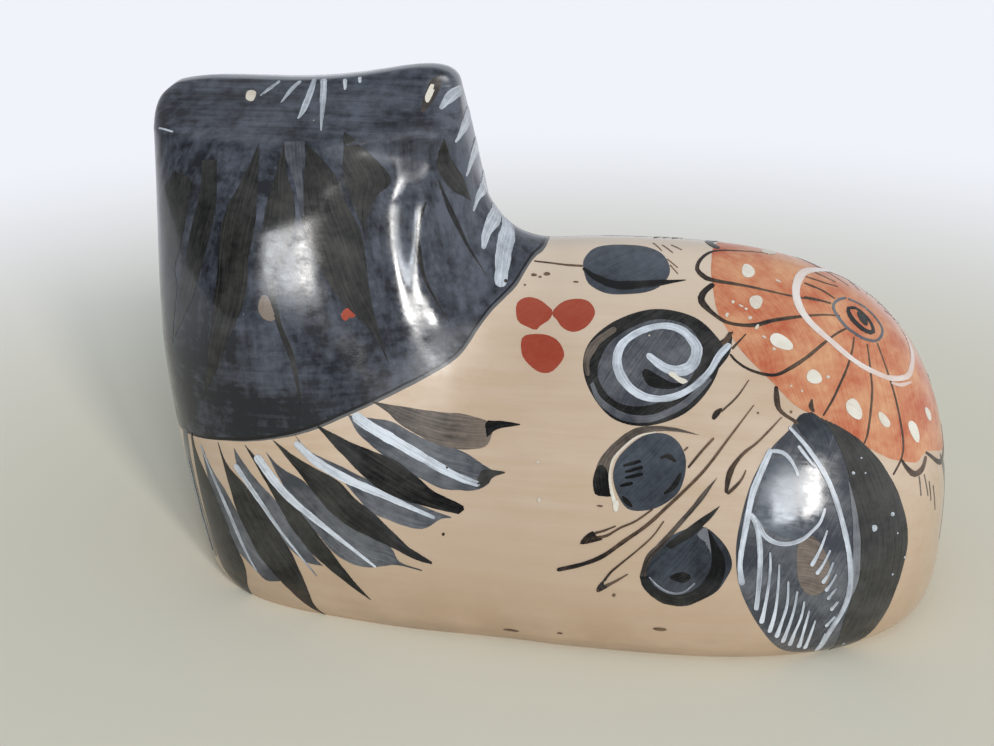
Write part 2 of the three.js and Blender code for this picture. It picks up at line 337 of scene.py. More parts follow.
# %% Smooth lines
def flowing(points, steps, closed=False):
    """Places along a smooth line through the points: so many even steps, or shares of its length.
    Each stretch is a cubic that sets off along the line between its neighbours."""
    p = np.asarray(points, float)
    if closed:
        p = np.concatenate([p[-1:], p, p[:2]])
    else:
        p = np.concatenate([2 * p[:1] - p[1:2], p, 2 * p[-1:] - p[-2:-1]])
    a, b, c, d = p[:-3], p[1:-2], p[2:-1], p[3:]
    t = np.linspace(0, 1, 16, endpoint=False)[:, None, None]
    slope, bend, twist = c - a, 2 * a - 5 * b + 4 * c - d, 3 * b - a - 3 * c + d
    curve = b + 0.5 * (slope * t + bend * t ** 2 + twist * t ** 3)
    curve = np.concatenate([curve.transpose(1, 0, 2).reshape(-1, p.shape[1]), c[-1:]])
    length = np.concatenate([[0], np.cumsum(np.linalg.norm(np.diff(curve, axis=0), axis=1))])
    share = np.linspace(0, 1, steps) if np.isscalar(steps) else steps
    return np.stack([np.interp(share * length[-1], length, axis) for axis in curve.T], axis=-1)


print("a bowed line at its quarter:", np.round(flowing([(0, 0), (1, 1), (2, 0)], 5)[1], 2))

# %% [markdown]
# ## Meshes from arrays
# Every surface below is an array of points worked out at once. One helper turns points and faces
# into a mesh. It also hands over normals taken from the formula's slope, because the burnishing
# stone leaves one unbroken surface, and a highlight has to run over clay and paint without a step.

# %% Mesh helpers
def grid_faces(rows, columns, closed=False):
    """Corner numbers of the faces between neighbouring points of a grid."""
    number = np.arange(rows * columns).reshape(rows, columns)
    beside = np.roll(number, -1, axis=1) if closed else number[:, 1:]
    here = number if closed else number[:, :-1]
    return np.stack([here[:-1], beside[:-1], beside[1:], here[1:]], axis=-1).reshape(-1, 4)


def new_piece(name, points, faces, normals=None, skin_faces=None, uv=None, values=None):
    """Makes a mesh object from points in millimetres. A corner that repeats the one before it is
    dropped, so that a face at a pole becomes a triangle. Faces in skin_faces take the normals."""
    keep = faces != np.roll(faces, 1, axis=1)
    sides = keep.sum(axis=1)
    whole = sides > 2
    corners, sides = faces[whole][keep[whole]], sides[whole]
    mesh = bpy.data.meshes.new(name)
    mesh.vertices.add(len(points))
    mesh.vertices.foreach_set("co", (points * MM).astype(np.float32).ravel())
    mesh.loops.add(len(corners))
    mesh.loops.foreach_set("vertex_index", corners.astype(np.int32))
    mesh.polygons.add(len(sides))
    mesh.polygons.foreach_set("loop_start", (np.cumsum(sides) - sides).astype(np.int32))
    mesh.polygons.foreach_set("use_smooth", np.ones(len(sides), bool))
    for title, data in (values or {}).items():
        mesh.attributes.new(title, "FLOAT", "POINT").data.foreach_set("value", data.astype(np.float32))
    if uv is not None:
        layer = mesh.uv_layers.new(name="brush")
        layer.uv.foreach_set("vector", uv[corners].astype(np.float32).ravel())
    mesh.update(calc_edges=True)
    mesh.validate()
    if normals is not None:
        given = normals[corners]
        if skin_faces is not None:
            given = given * np.repeat(skin_faces[whole], sides)[:, None]
        mesh.normals_split_custom_set(given.tolist())
    piece = bpy.data.objects.new(name, mesh)
    bpy.context.scene.collection.objects.link(piece)
    return piece


print("a grid of 3 by 4 points has", len(grid_faces(3, 4)), "faces")


# %% Material and body of a piece
def finish_piece(piece, material, slot):
    """Gives a piece its material and its place on the body. The slot is not used."""
    piece.data.materials.append(material)
    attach(piece, "root")
    return piece


# %% [markdown]
# ## The pressed halves
# Each half was pressed into its own mould and the joint was scraped flush. The outline on the
# parting plane and the ground line are joined by a fan of columns, and each point of a column
# stands off the plane by the depth of the clay there. This is the CAD grid with many more columns,
# so it replaces the CAD shells without leaving their box.

# %% Outline on the parting plane
HUB_X, HUB_Z = 28.0, 30.0
COLUMNS, ROWS, INNER_ROWS = 440, 110, 44
BEYOND = 48.0
GROUND_SHARES = ([0, 0.376, 0.531, 1], [0, 0.62, 0.68, 1])


def first_inside(field_at, far, near, strides):
    """Walks from far to near for all lines at once and halves the stride that enters the clay."""
    reach = np.linspace(far, near, strides)[:, None]
    inside = field_at(reach) < 0
    first = inside.argmax(0)
    outer, inner = reach[np.maximum(first - 1, 0), 0], reach[first, 0]
    return halved(lambda middle: field_at(middle[None])[0] < 0, outer, inner)


def ground_end(surface, direction):
    """Where the surface meets the ground line at the rump (-1) or at the chest (+1)."""
    def along(reach):
        """The surface's value at a reach along the ground line."""
        return surface(reach[..., None] * np.array([direction, 0.0, 0.0]))
    return direction * float(first_inside(along, far=90, near=20, strides=141)[0])


def outline(surface, angles):
    """Points of the outline where rays from a hub in the neck leave the surface."""
    ways = np.stack([np.cos(angles), np.zeros_like(angles), np.sin(angles)], axis=-1)
    hub = np.array([HUB_X, 0.0, HUB_Z])
    reach = first_inside(lambda r: surface(hub + r[..., None] * ways), far=110, near=5, strides=421)
    return hub + reach[:, None] * ways


print("crown over the hub:", round(float(outline(skin_field, np.array([np.pi / 2]))[0, 2]), 1), "mm")


# %% Columns of like length
def even_angles(count):
    """Turns of the hub's ray that cut the skin's outline into columns of like length."""
    start = np.arctan2(-HUB_Z, ground_end(skin_field, -1) - HUB_X) + 2 * np.pi
    end = np.arctan2(-HUB_Z, ground_end(skin_field, 1) - HUB_X)
    fine = np.linspace(start, end, 1201)
    stretch = np.linalg.norm(np.diff(outline(skin_field, fine), axis=0), axis=1)
    length = np.concatenate([[0], np.cumsum(stretch)])
    return np.interp(np.linspace(0, length[-1], count + 1), length, fine)


def eased_share(share, ease=1.0):
    """Steps that bunch up at both ends, by half a cosine wave or part of one."""
    return share + ease * (0.5 - 0.5 * np.cos(np.pi * share) - share)


ANGLES = even_angles(COLUMNS)
print("outline columns:", len(ANGLES), "from", round(ground_end(skin_field, -1), 2), "to",
      round(ground_end(skin_field, 1), 2), "mm")


# %% Relief of one half
def relief(surface, side, rows):
    """Grid of columns from the outline down to the ground line, where they stand closer under the
    nape, so that none runs out of the outline there. The depth of each point comes from halving
    between the parting plane and a plane beyond the figure."""
    top = outline(surface, ANGLES)
    rump, chest = ground_end(surface, -1), ground_end(surface, 1)
    foot = np.zeros_like(top)
    share = np.interp(eased_share(np.linspace(0, 1, COLUMNS + 1)), *GROUND_SHARES)
    foot[:, 0] = rump + (chest - rump) * share
    top[0], top[-1] = foot[0], foot[-1]
    share = eased_share(np.linspace(0, 1, rows + 1), 0.6)[None, :, None]
    grid = top[:, None] * (1 - share) + foot[:, None] * share

    def solid_at(depth):
        """Whether the grid's points lie in the clay at a depth from the parting plane."""
        grid[..., 1] = side * depth
        return surface(grid) < 0

    grid[..., 1] = side * halved(solid_at, np.full(grid.shape[:2], BEYOND), np.zeros(grid.shape[:2]))
    grid[:, 0, 1] = grid[0, :, 1] = grid[-1, :, 1] = 0
    return grid


print("relief grid:", COLUMNS + 1, "by", ROWS + 1, "points")


# %% One closed half
def pressed_half(name, side):
    """Skin, inner face, the rim on the parting plane and the rim on the ground, closed."""
    outer, inner = relief(skin_field, side, ROWS), relief(clay_at(WALL), side, INNER_ROWS)
    number = np.arange(outer.shape[0] * (ROWS + 1)).reshape(-1, ROWS + 1)
    hidden = number.size + np.arange(inner.shape[0] * (INNER_ROWS + 1)).reshape(-1, INNER_ROWS + 1)
    number[0], number[-1] = number[0, 0], number[-1, 0]
    hidden[0], hidden[-1] = hidden[0, 0], hidden[-1, 0]

    def between(a, b):
        """Faces between two rows of corner numbers."""
        return np.stack([a[:-1], a[1:], b[1:], b[:-1]], axis=-1).reshape(-1, 4)

    skin = between(number[:, :-1], number[:, 1:])
    rest = [between(hidden[:, 1:], hidden[:, :-1])]
    rest.append(between(hidden[:, 0], number[:, 0]))
    rest.append(between(number[:, -1], hidden[:, -1]))
    faces = np.concatenate([skin, *rest])
    points = np.concatenate([outer.reshape(-1, 3), inner.reshape(-1, 3)])
    if side < 0:
        faces = faces[:, ::-1]
    slope = slope_of(skin_field, points)
    normals = slope / np.maximum(np.linalg.norm(slope, axis=-1, keepdims=True), 1e-6)
    skin_faces = np.arange(len(faces)) < len(skin)
    used = np.unique(faces)
    place = np.full(len(points), -1)
    place[used] = np.arange(len(used))
    return new_piece(name, points[used], place[faces], normals[used], skin_faces,
                     values={"above_collar": above_collar(points[used])})


print("wall:", WALL, "mm")

# %% [markdown]
# ## The collar line
# Dark slip covers the head like a hood and ends at a curved line round the neck. The line is read
# from the photograph, and seen from the side it is a height for each place along the body. Each
# point of the skin keeps its distance above that line, and the material turns it into an edge.

# %% Distance above the collar
COLLAR = [(179, 425), (220, 440), (253, 440), (300, 432), (349, 412), (399, 389), (432, 371),
          (459, 352), (486, 314), (514, 284), (530, 259), (547, 236)]
COLLAR_TOP_X, COLLAR_TOP_Z = -12.0, 76.0
collar_points = flowing(seen(COLLAR), 60)
collar_order = np.argsort(collar_points[:, 0])
COLLAR_X = np.concatenate([[COLLAR_TOP_X], collar_points[collar_order, 0]])
COLLAR_Z = np.concatenate([[COLLAR_TOP_Z], collar_points[collar_order, 2]])


def above_collar(points):
    """Height above the collar line, times the cosine of the line's own slope there."""
    line = np.interp(points[:, 0], COLLAR_X, COLLAR_Z)
    ahead = np.interp(points[:, 0] + 0.5, COLLAR_X, COLLAR_Z)
    behind = np.interp(points[:, 0] - 0.5, COLLAR_X, COLLAR_Z)
    return (points[:, 2] - line) / np.hypot(1, ahead - behind)


left_skin = pressed_half("left_half_skin", 1)
right_skin = pressed_half("right_half_skin", -1)
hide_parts("left_half_shell")
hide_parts("right_half_shell")
print("faces of one half:", len(left_skin.data.polygons))

# %% [markdown]
# ## Finishes as node groups
# Slip, burnish and age show on every material of the cat, so each is a node group, built once and
# placed with its own values. The groups read plain object coordinates or the brush map of a mark,
# and give out colours, masks and heights. The shader itself stays in each material.

# %% Helpers for node trees
def feed(tree, node, inputs):
    """Gives a node its inputs: each is a value or the output socket of another node."""
    for name, value in inputs.items():
        if isinstance(value, bpy.types.NodeSocket):
            tree.links.new(value, node.inputs[name])
        else:
            node.inputs[name].default_value = value
    return node


def put(tree, kind, inputs=None, **settings):
    """Adds a node with its settings and its inputs."""
    node = tree.nodes.new(kind)
    for name, value in settings.items():
        setattr(node, name, value)
    return feed(tree, node, inputs or {})


print("an input takes a value or a", bpy.types.NodeSocket.__name__)


# %% Colours, sums and noise in a tree
def mix(tree, share, a, b, blend="MIX"):
    """Colour between a and b by a share."""
    node = put(tree, "ShaderNodeMix", {0: share, 6: a, 7: b}, data_type="RGBA", blend_type=blend)
    return node.outputs[2]


def calc(tree, operation, a, b=0.0, c=0.0):
    """One sum on values."""
    return put(tree, "ShaderNodeMath", {0: a, 1: b, 2: c}, operation=operation).outputs[0]


def stirred(tree, base, waves, amount):
    """A base value with noise added, which swings about its middle by an amount."""
    return calc(tree, "MULTIPLY_ADD", calc(tree, "SUBTRACT", waves, 0.5), amount, base)


def scaled(tree, value, low, high, to_low=0.0, to_high=1.0):
    """Value moved from one range to another and held inside it."""
    inputs = {"Value": value, "From Min": low, "From Max": high, "To Min": to_low, "To Max": to_high}
    return put(tree, "ShaderNodeMapRange", inputs).outputs[0]


def noise(tree, place, stretch, detail=2.0, roughness=0.5, shift=(0, 0, 0)):
    """Noise with so many cells to the unit along each axis."""
    spread = put(tree, "ShaderNodeMapping", {"Vector": place, "Scale": stretch, "Location": shift})
    inputs = {"Vector": spread.outputs[0], "Scale": 1.0, "Detail": detail, "Roughness": roughness}
    return put(tree, "ShaderNodeTexNoise", inputs).outputs[0]


print("node helpers:", ", ".join(helper.__name__ for helper in (put, mix, calc, stirred, scaled, noise)))

# %% Helpers for node groups
VECTOR, COLOUR, VALUE = "NodeSocketVector", "NodeSocketColor", "NodeSocketFloat"


def new_group(name, inputs, outputs):
    """A node group with named sockets: returns the tree, its input sockets and its output node."""
    tree = bpy.data.node_groups.new(name, "ShaderNodeTree")
    for title, kind, value in inputs:
        socket = tree.interface.new_socket(title, in_out="INPUT", socket_type=kind)
        if value is not None:
            socket.default_value = value
    for title, kind in outputs:
        tree.interface.new_socket(title, in_out="OUTPUT", socket_type=kind)
    return tree, put(tree, "NodeGroupInput").outputs, put(tree, "NodeGroupOutput").inputs


def use_group(tree, group, inputs):
    """Places a group in a tree and gives its outputs."""
    node = tree.nodes.new("ShaderNodeGroup")
    node.node_tree = group
    return feed(tree, node, inputs).outputs


print("socket kinds:", VECTOR, COLOUR, VALUE)

# %% [markdown]
# ### Burnish
# The polishing stone leaves fine lines along its strokes and presses small grains out of the
# clay. Noise that is long along the stroke and narrow across it gives the lines, and a few round
# cells give the pits. Both are worked out in object space, so they run on under the paint.

# %% Burnish group
LINES_ALONG, LINES_ACROSS = 70.0, 1900.0
PIT_CELLS = 420.0
FOLDS = [((415, 420), 11.0, 1.0), ((345, 142), 5.0, 1.0), ((380, 138), 5.0, 1.0), ((418, 134), 5.0, 1.0),
         ((412, 164), 3.2, 1.0), ((440, 98), 4.0, 1.0), ((466, 348), 6.0, 0.7), ((286, 262), 13.0, 0.2)]


def build_burnish():
    """Height of the stone's lines and pits, how dull the surface is between them, and the folds
    which the stone hardly reaches, as soft balls round a few places."""
    tree, given, out = new_group(
        "stone_burnish", [("Place", VECTOR, None), ("Lines", VALUE, 0.5), ("Pits", VALUE, 0.5)],
        [("Height", VALUE), ("Dull", VALUE), ("Fold", VALUE)])
    lines = noise(tree, given["Place"], (LINES_ALONG, LINES_ACROSS, LINES_ACROSS), 3.0, 0.6)
    waves = noise(tree, given["Place"], (120.0, 120.0, 120.0), 1.0)
    cells = put(tree, "ShaderNodeTexVoronoi", {"Vector": given["Place"], "Scale": PIT_CELLS})
    pit = scaled(tree, cells.outputs["Distance"], 0.05, 0.17, 1.0, 0.0)
    chosen = scaled(tree, put(tree, "ShaderNodeSeparateColor", {0: cells.outputs["Color"]}).outputs[0],
                    0.80, 0.82)
    pits = calc(tree, "MULTIPLY", calc(tree, "MULTIPLY", pit, chosen), given["Pits"])
    height = stirred(tree, waves, lines, given["Lines"])
    tree.links.new(calc(tree, "SUBTRACT", height, pits), out["Height"])
    cloud = noise(tree, given["Place"], (55.0, 90.0, 90.0), 3.0, 0.6, (3, 1, 2))
    mottle = noise(tree, given["Place"], (420.0, 420.0, 420.0), 3.0, 0.65, (2, 4, 6))
    dull = stirred(tree, cloud, lines, 0.5)
    dull = stirred(tree, dull, mottle, 0.8)
    tree.links.new(calc(tree, "MAXIMUM", scaled(tree, dull, 0.3, 0.75), pits), out["Dull"])
    fold = 0.0
    for pixel, radius, share in FOLDS:
        away = put(tree, "ShaderNodeVectorMath", {0: given["Place"], 1: seen([pixel])[0] * MM},
                   operation="DISTANCE")
        near = scaled(tree, away.outputs["Value"], radius * MM, radius * MM / 3, 0.0, share)
        fold = calc(tree, "MAXIMUM", fold, near)
    tree.links.new(fold, out["Fold"])
    return tree


BURNISH = build_burnish()
print(BURNISH.name, "has", len(BURNISH.nodes), "nodes")

# %% [markdown]
# ### Slip coat
# Slip is clay and pigment in water. It pools along the brush and thins out where the hairs part,
# so that a coat is never one colour. The group mixes a thick and a thin colour by bristle lines
# that follow the mark and by soft clouds, and each mark brings its own tone.

# %% Slip coat group
def build_slip_coat():
    """Colour of a brushed coat and the share of it that is thick."""
    tree, given, out = new_group(
        "slip_coat",
        [("Place", VECTOR, None), ("Brush", VECTOR, None), ("Tone", VALUE, 0.5),
         ("Thick", COLOUR, None), ("Thin", COLOUR, None), ("Bristle", VALUE, 1.0),
         ("Cloud", VALUE, 1.0)],
        [("Color", COLOUR), ("Body", VALUE)])
    hairs = noise(tree, given["Brush"], (0.10, 3.2, 1.0), 3.0, 0.65)
    clouds = noise(tree, given["Place"], (150.0, 150.0, 190.0), 3.0, 0.6, (1, 5, 2))
    grain = noise(tree, given["Place"], (800.0, 800.0, 800.0), 3.0, 0.7)
    body = stirred(tree, given["Tone"], hairs, given["Bristle"])
    body = stirred(tree, body, clouds, given["Cloud"])
    body = stirred(tree, body, grain, 0.7)
    body = scaled(tree, body, 0.0, 1.0)
    tree.links.new(mix(tree, body, given["Thin"], given["Thick"]), out["Color"])
    tree.links.new(body, out["Body"])
    return tree


SLIP_COAT = build_slip_coat()
print(SLIP_COAT.name, "has", len(SLIP_COAT.nodes), "nodes")

# %% [markdown]
# ### Age
# Years of shelves leave pale specks where a grain has broken out of the dark slip and dark specks on
# the tan, and the colour turns darker and browner towards the foot. The speck colour is an input, so
# that the same group serves every coat.

# %% Age group
SPECK_CELLS = 300.0
# Colour and heights of the darkening towards the ground.
DARKEN_FROM, DARKEN_TO = 0.0, 0.007
DARKEN_COLOUR = (0.33, 0.25, 0.18, 1)


def build_age():
    """The coat's colour with specks of another colour on it, made darker and browner towards the ground."""
    tree, given, out = new_group(
        "age_marks",
        [("Place", VECTOR, None), ("Color", COLOUR, None), ("Speck", COLOUR, None),
         ("Share", VALUE, 0.1), ("Darken", VALUE, 0.5)],
        [("Color", COLOUR), ("Worn", VALUE)])
    bent = noise(tree, given["Place"], (700.0, 700.0, 700.0), 1.0)
    cells = put(tree, "ShaderNodeTexVoronoi", {"Vector": given["Place"], "Scale": SPECK_CELLS})
    parts = put(tree, "ShaderNodeSeparateColor", {0: cells.outputs["Color"]}).outputs
    size = scaled(tree, parts[1], 0.0, 1.0, 0.02, 0.085)
    edge = stirred(tree, size, bent, 0.13)
    dot = calc(tree, "LESS_THAN", cells.outputs["Distance"], edge)
    worn = calc(tree, "MULTIPLY", dot, calc(tree, "LESS_THAN", parts[0], given["Share"]))
    height = put(tree, "ShaderNodeSeparateXYZ", {0: given["Place"]}).outputs[2]
    cloud = noise(tree, given["Place"], (90.0, 90.0, 300.0), 3.0, 0.6)
    # Darker and browner towards the ground, broken up by clouds.
    darken = calc(tree, "MULTIPLY", scaled(tree, height, DARKEN_FROM, DARKEN_TO, 1.0, 0.0), given["Darken"])
    darken = calc(tree, "MULTIPLY", darken, scaled(tree, cloud, 0.35, 0.65))
    darkened = mix(tree, darken, given["Color"], DARKEN_COLOUR)
    tree.links.new(mix(tree, worn, darkened, given["Speck"]), out["Color"])
    tree.links.new(worn, out["Worn"])
    return tree


AGE = build_age()
print("groups:", ", ".join(g.name for g in bpy.data.node_groups))

# %% [markdown]
# ### Materials
# A burnished coat is one smooth layer with a sharp reflection, so a plain Principled shader with
# low roughness is enough. The dull share of the burnish raises the roughness a little in streaks,
# and a Bump node turns the group's height into the fine lines that break up the highlights.

# %% Shared shader settings
BUMP_REACH = 0.000015
FOLD_DULL = 0.42
CLAY_IOR = 1.42
TAN_SPECK, DARK_SPECK = (0.50, 0.42, 0.34, 1), (0.045, 0.03, 0.022, 1)


def new_material(name):
    """An empty material: its tree and the place in the object."""
    material = bpy.data.materials.new(name)
    material.use_nodes = True
    tree = material.node_tree
    tree.nodes.clear()
    return material, tree, put(tree, "ShaderNodeTexCoord").outputs["Object"]


def shade(tree, place, colour, gloss, dull, lines=0.5, pits=0.4, bump=0.6):
    """Principled shader whose roughness runs from gloss to dull over the burnish."""
    burnish = use_group(tree, BURNISH, {"Place": place, "Lines": lines, "Pits": pits})
    height = put(tree, "ShaderNodeBump",
                 {"Strength": bump, "Distance": BUMP_REACH, "Height": burnish["Height"]})
    rough = calc(tree, "MULTIPLY_ADD", burnish["Fold"], FOLD_DULL,
                 scaled(tree, burnish["Dull"], 0.0, 1.0, gloss, dull))
    shader = put(tree, "ShaderNodeBsdfPrincipled", {
        "Base Color": colour, "Roughness": rough,
        "IOR": CLAY_IOR, "Normal": height.outputs[0]})
    put(tree, "ShaderNodeOutputMaterial", {"Surface": shader.outputs[0]})
    return shader


def slip_paint(name, slot, thick, thin, speck, share=0.05, bristle=1.0, cloud=1.3, gloss=0.06, dull=0.22):
    """Material of one slip colour with its slot: the coat, its age and the shine."""
    material, tree, place = new_material(name)
    brush = put(tree, "ShaderNodeUVMap", uv_map="brush").outputs[0]
    tone = put(tree, "ShaderNodeAttribute", attribute_name="tone").outputs["Fac"]
    coat = use_group(tree, SLIP_COAT, {
        "Place": place, "Brush": brush, "Tone": tone, "Thick": thick, "Thin": thin,
        "Bristle": bristle, "Cloud": cloud})
    aged = use_group(tree, AGE, {
        "Place": place, "Color": coat["Color"], "Speck": speck, "Share": share, "Darken": 0.35})
    shade(tree, place, aged["Color"], gloss, dull)
    return material, slot


print("index of refraction of the burnished clay:", CLAY_IOR)

# %% Slip colours
BLACK_SLIP = slip_paint("black_slip", "black_slip", (0.006, 0.006, 0.006, 1), (0.066, 0.064, 0.059, 1),
                        TAN_SPECK, 0.10, 1.4, 1.7)
SLATE_SLIP = slip_paint("slate_slip", "black_slip", (0.022, 0.026, 0.032, 1), (0.095, 0.110, 0.135, 1),
                        TAN_SPECK, 0.10, 1.0, 1.7)
GREY_SLIP = slip_paint("grey_slip", "grey_slip", (0.048, 0.053, 0.064, 1), (0.200, 0.208, 0.225, 1),
                       TAN_SPECK, 0.08, 1.2, 1.7)
WHITE_SLIP = slip_paint("white_slip", "white_slip", (0.70, 0.75, 0.82, 1), (0.17, 0.185, 0.215, 1),
                        DARK_SPECK, 0.08, 1.6, 1.3, 0.16, 0.36)
RING_SLIP = slip_paint("ring_slip", "white_slip", (0.80, 0.74, 0.70, 1), (0.66, 0.45, 0.37, 1),
                       DARK_SPECK, 0.05, 1.4, 1.5)
CREAM_SLIP = slip_paint("cream_slip", "white_slip", (0.83, 0.79, 0.70, 1), (0.58, 0.49, 0.38, 1),
                        DARK_SPECK)
RED_SLIP = slip_paint("red_slip", "red_slip", (0.34, 0.052, 0.026, 1), (0.42, 0.100, 0.058, 1), TAN_SPECK)
ORANGE_SLIP = slip_paint("orange_slip", "orange_slip", (0.50, 0.115, 0.052, 1), (0.70, 0.37, 0.20, 1),
                         TAN_SPECK, 0.08, 1.0, 2.4)
BROWN_SLIP = slip_paint("brown_slip", "brown_slip", (0.036, 0.030, 0.026, 1), (0.225, 0.180, 0.148, 1),
                        TAN_SPECK, 0.05, 1.9, 1.2)
LINE_SLIP = slip_paint("line_slip", "brown_slip", (0.016, 0.013, 0.012, 1), (0.250, 0.155, 0.095, 1),
                       TAN_SPECK, 0.03, 0.9, 0.9)
print("slip colours:", sum(m.name.endswith("_slip") for m in bpy.data.materials))

# %% [markdown]
# ### Burnished body
# The tan body slip is cloudy and crossed by faint lines. It is painted warmer and darker low on the
# flank, a warmer tone with painted shade, and paler on the back as painted light. Above the collar
# the hood covers it: a blue-grey wash in upright strokes, with level strokes on the band under the
# crown. Along the crest it is painted paler, a painted reflection of the bright room. The attribute
# above_collar draws the dark line along the edge, and a thin rim of wash that ran past it.

# %% Tan ground and hood wash
TAN_PALE, TAN_DEEP = (0.665, 0.525, 0.405, 1), (0.575, 0.425, 0.300, 1)
# The low colour is a warmer tone with painted shade; the top colour is painted light on the back.
TAN_LOW_SHADE, TAN_TOP_LIT = (0.47, 0.335, 0.220, 1), (0.74, 0.630, 0.520, 1)
HOOD_THICK, HOOD_THIN = (0.013, 0.015, 0.020, 1), (0.088, 0.099, 0.128, 1)
BAND_FROM, BAND_TO = 0.0735, 0.0750
# Paler colour along the crest: a painted reflection of the bright room on its grazing edge.
CREST_SHEEN_PAINT = (0.21, 0.225, 0.245, 1)
CREST_FROM, CREST_TO, CREST_REACH, CREST_CORE = 0.0755, 0.0775, 0.0023, 0.0013


def tan_ground(tree, place, parts, clouds):
    """Cloudy tan in level strokes, painted warmer and darker towards the ground as a warmer tone with painted
    shade, and paler on the back as painted light.
    """
    strokes = noise(tree, place, (26.0, 420.0, 520.0), 3.0, 0.6, (2, 2, 2))
    blend = stirred(tree, clouds, strokes, 0.7)
    tan = mix(tree, scaled(tree, blend, 0.3, 0.72), TAN_DEEP, TAN_PALE)
    # Painted shade: warmer and darker low on the flank, a warmer tone together with painted shade.
    low = calc(tree, "MULTIPLY", scaled(tree, parts[2], 0.030, 0.004), scaled(tree, clouds, 0.2, 0.6))
    tan = mix(tree, low, tan, TAN_LOW_SHADE)
    # Painted light: the top of the back is painted paler.
    return mix(tree, scaled(tree, parts[2], 0.042, 0.058, 0.0, 0.8), tan, TAN_TOP_LIT)


def hood_wash(tree, place, parts, clouds):
    """Blue-grey wash: hair lines, blots and flecks decide how thick it is, and the crest is painted paler as
    a painted reflection.
    """
    upright = noise(tree, place, (520.0, 520.0, 34.0), 3.0, 0.65)
    level = noise(tree, place, (34.0, 420.0, 900.0), 3.0, 0.65, (5, 0, 0))
    band = scaled(tree, parts[2], BAND_FROM, BAND_TO)
    band = calc(tree, "MAXIMUM", band, scaled(tree, parts[2], 0.058, 0.042, 0.0, 0.6))
    hairs = calc(tree, "ADD", calc(tree, "MULTIPLY", level, band),
                 calc(tree, "MULTIPLY", upright, calc(tree, "SUBTRACT", 1.0, band)))
    blotch = noise(tree, place, (110.0, 110.0, 90.0), 4.0, 0.65, (7, 3, 1))
    fleck = noise(tree, place, (600.0, 600.0, 600.0), 3.0, 0.65, (1, 2, 8))
    thick = stirred(tree, stirred(tree, hairs, blotch, 1.1), fleck, 0.6)
    thick = calc(tree, "ADD", thick, scaled(tree, parts[2], 0.066, 0.046, 0.0, 0.10))
    thick = calc(tree, "ADD", thick, scaled(tree, parts[0], 0.018, 0.050, -0.05, 0.06))
    hood = mix(tree, scaled(tree, thick, 0.28, 0.72), HOOD_THIN, HOOD_THICK)
    # Painted reflection: the wash turns paler along the top of the crest.
    ridge = scaled(tree, calc(tree, "ABSOLUTE", parts[1]), CREST_REACH, CREST_CORE)
    ridge = calc(tree, "MULTIPLY", ridge, scaled(tree, parts[2], CREST_FROM, CREST_TO))
    return mix(tree, calc(tree, "MULTIPLY", ridge, scaled(tree, clouds, 0.1, 0.5)), hood, CREST_SHEEN_PAINT)


print("the wash turns level above", round(BAND_FROM / MM, 1), "mm")

# %% Body material
LINE_INK, LINE_MIDDLE, LINE_THIN, LINE_WIDE = (0.008, 0.008, 0.009, 1), 0.25, 0.13, 0.26
RIM_WASH, RIM_WIDE = (0.125, 0.123, 0.123, 1), 0.42
BODY_GLOSS, BODY_DULL = 0.075, 0.25


def build_body_material():
    """Tan clay below the collar, the hood's wash above it, and the line between them."""
    material, tree, place = new_material("burnished_clay_body")
    parts = put(tree, "ShaderNodeSeparateXYZ", {0: place}).outputs
    clouds = noise(tree, place, (38.0, 38.0, 46.0), 4.0, 0.6)
    tan, hood = tan_ground(tree, place, parts, clouds), hood_wash(tree, place, parts, clouds)
    above = put(tree, "ShaderNodeAttribute", attribute_name="above_collar").outputs["Fac"]
    wobble = noise(tree, place, (160.0, 160.0, 160.0), 2.0)
    above = stirred(tree, above, wobble, 0.35)
    line = calc(tree, "ABSOLUTE", calc(tree, "SUBTRACT", above, LINE_MIDDLE))
    line = calc(tree, "LESS_THAN", line, scaled(tree, parts[0], 0.018, 0.036, LINE_THIN, LINE_WIDE))
    rim_width = scaled(tree, parts[0], 0.052, 0.034, 0.0, RIM_WIDE)
    rim = calc(tree, "GREATER_THAN", calc(tree, "ADD", above, rim_width), 0.0)
    dark = calc(tree, "GREATER_THAN", above, 0.0)
    colour = mix(tree, dark, mix(tree, rim, tan, RIM_WASH), hood)
    colour = mix(tree, line, colour, LINE_INK)
    speck = mix(tree, dark, DARK_SPECK, TAN_SPECK)
    aged = use_group(tree, AGE, {
        "Place": place, "Color": colour, "Speck": speck, "Share": 0.07, "Darken": 0.5})
    shade(tree, place, aged["Color"], BODY_GLOSS, BODY_DULL)
    return material


BODY_CLAY = build_body_material()
for skin in (left_skin, right_skin):
    finish_piece(skin, BODY_CLAY, "burnished_clay")
print(BODY_CLAY.name, "has", len(BODY_CLAY.node_tree.nodes), "nodes")

# %% [markdown]
# ### Bare clay
# Inside and underneath, the clay was never burnished. It is matt and sandy, with finger ridges
# along the coils. The slab and both coils keep their CAD solids, because a flat slab and two
# hidden ropes are already right, and only their material changes.

# %% Bare clay on the slab and the coils
CLAY_PALE, CLAY_DEEP = (0.47, 0.29, 0.17, 1), (0.30, 0.17, 0.095, 1)


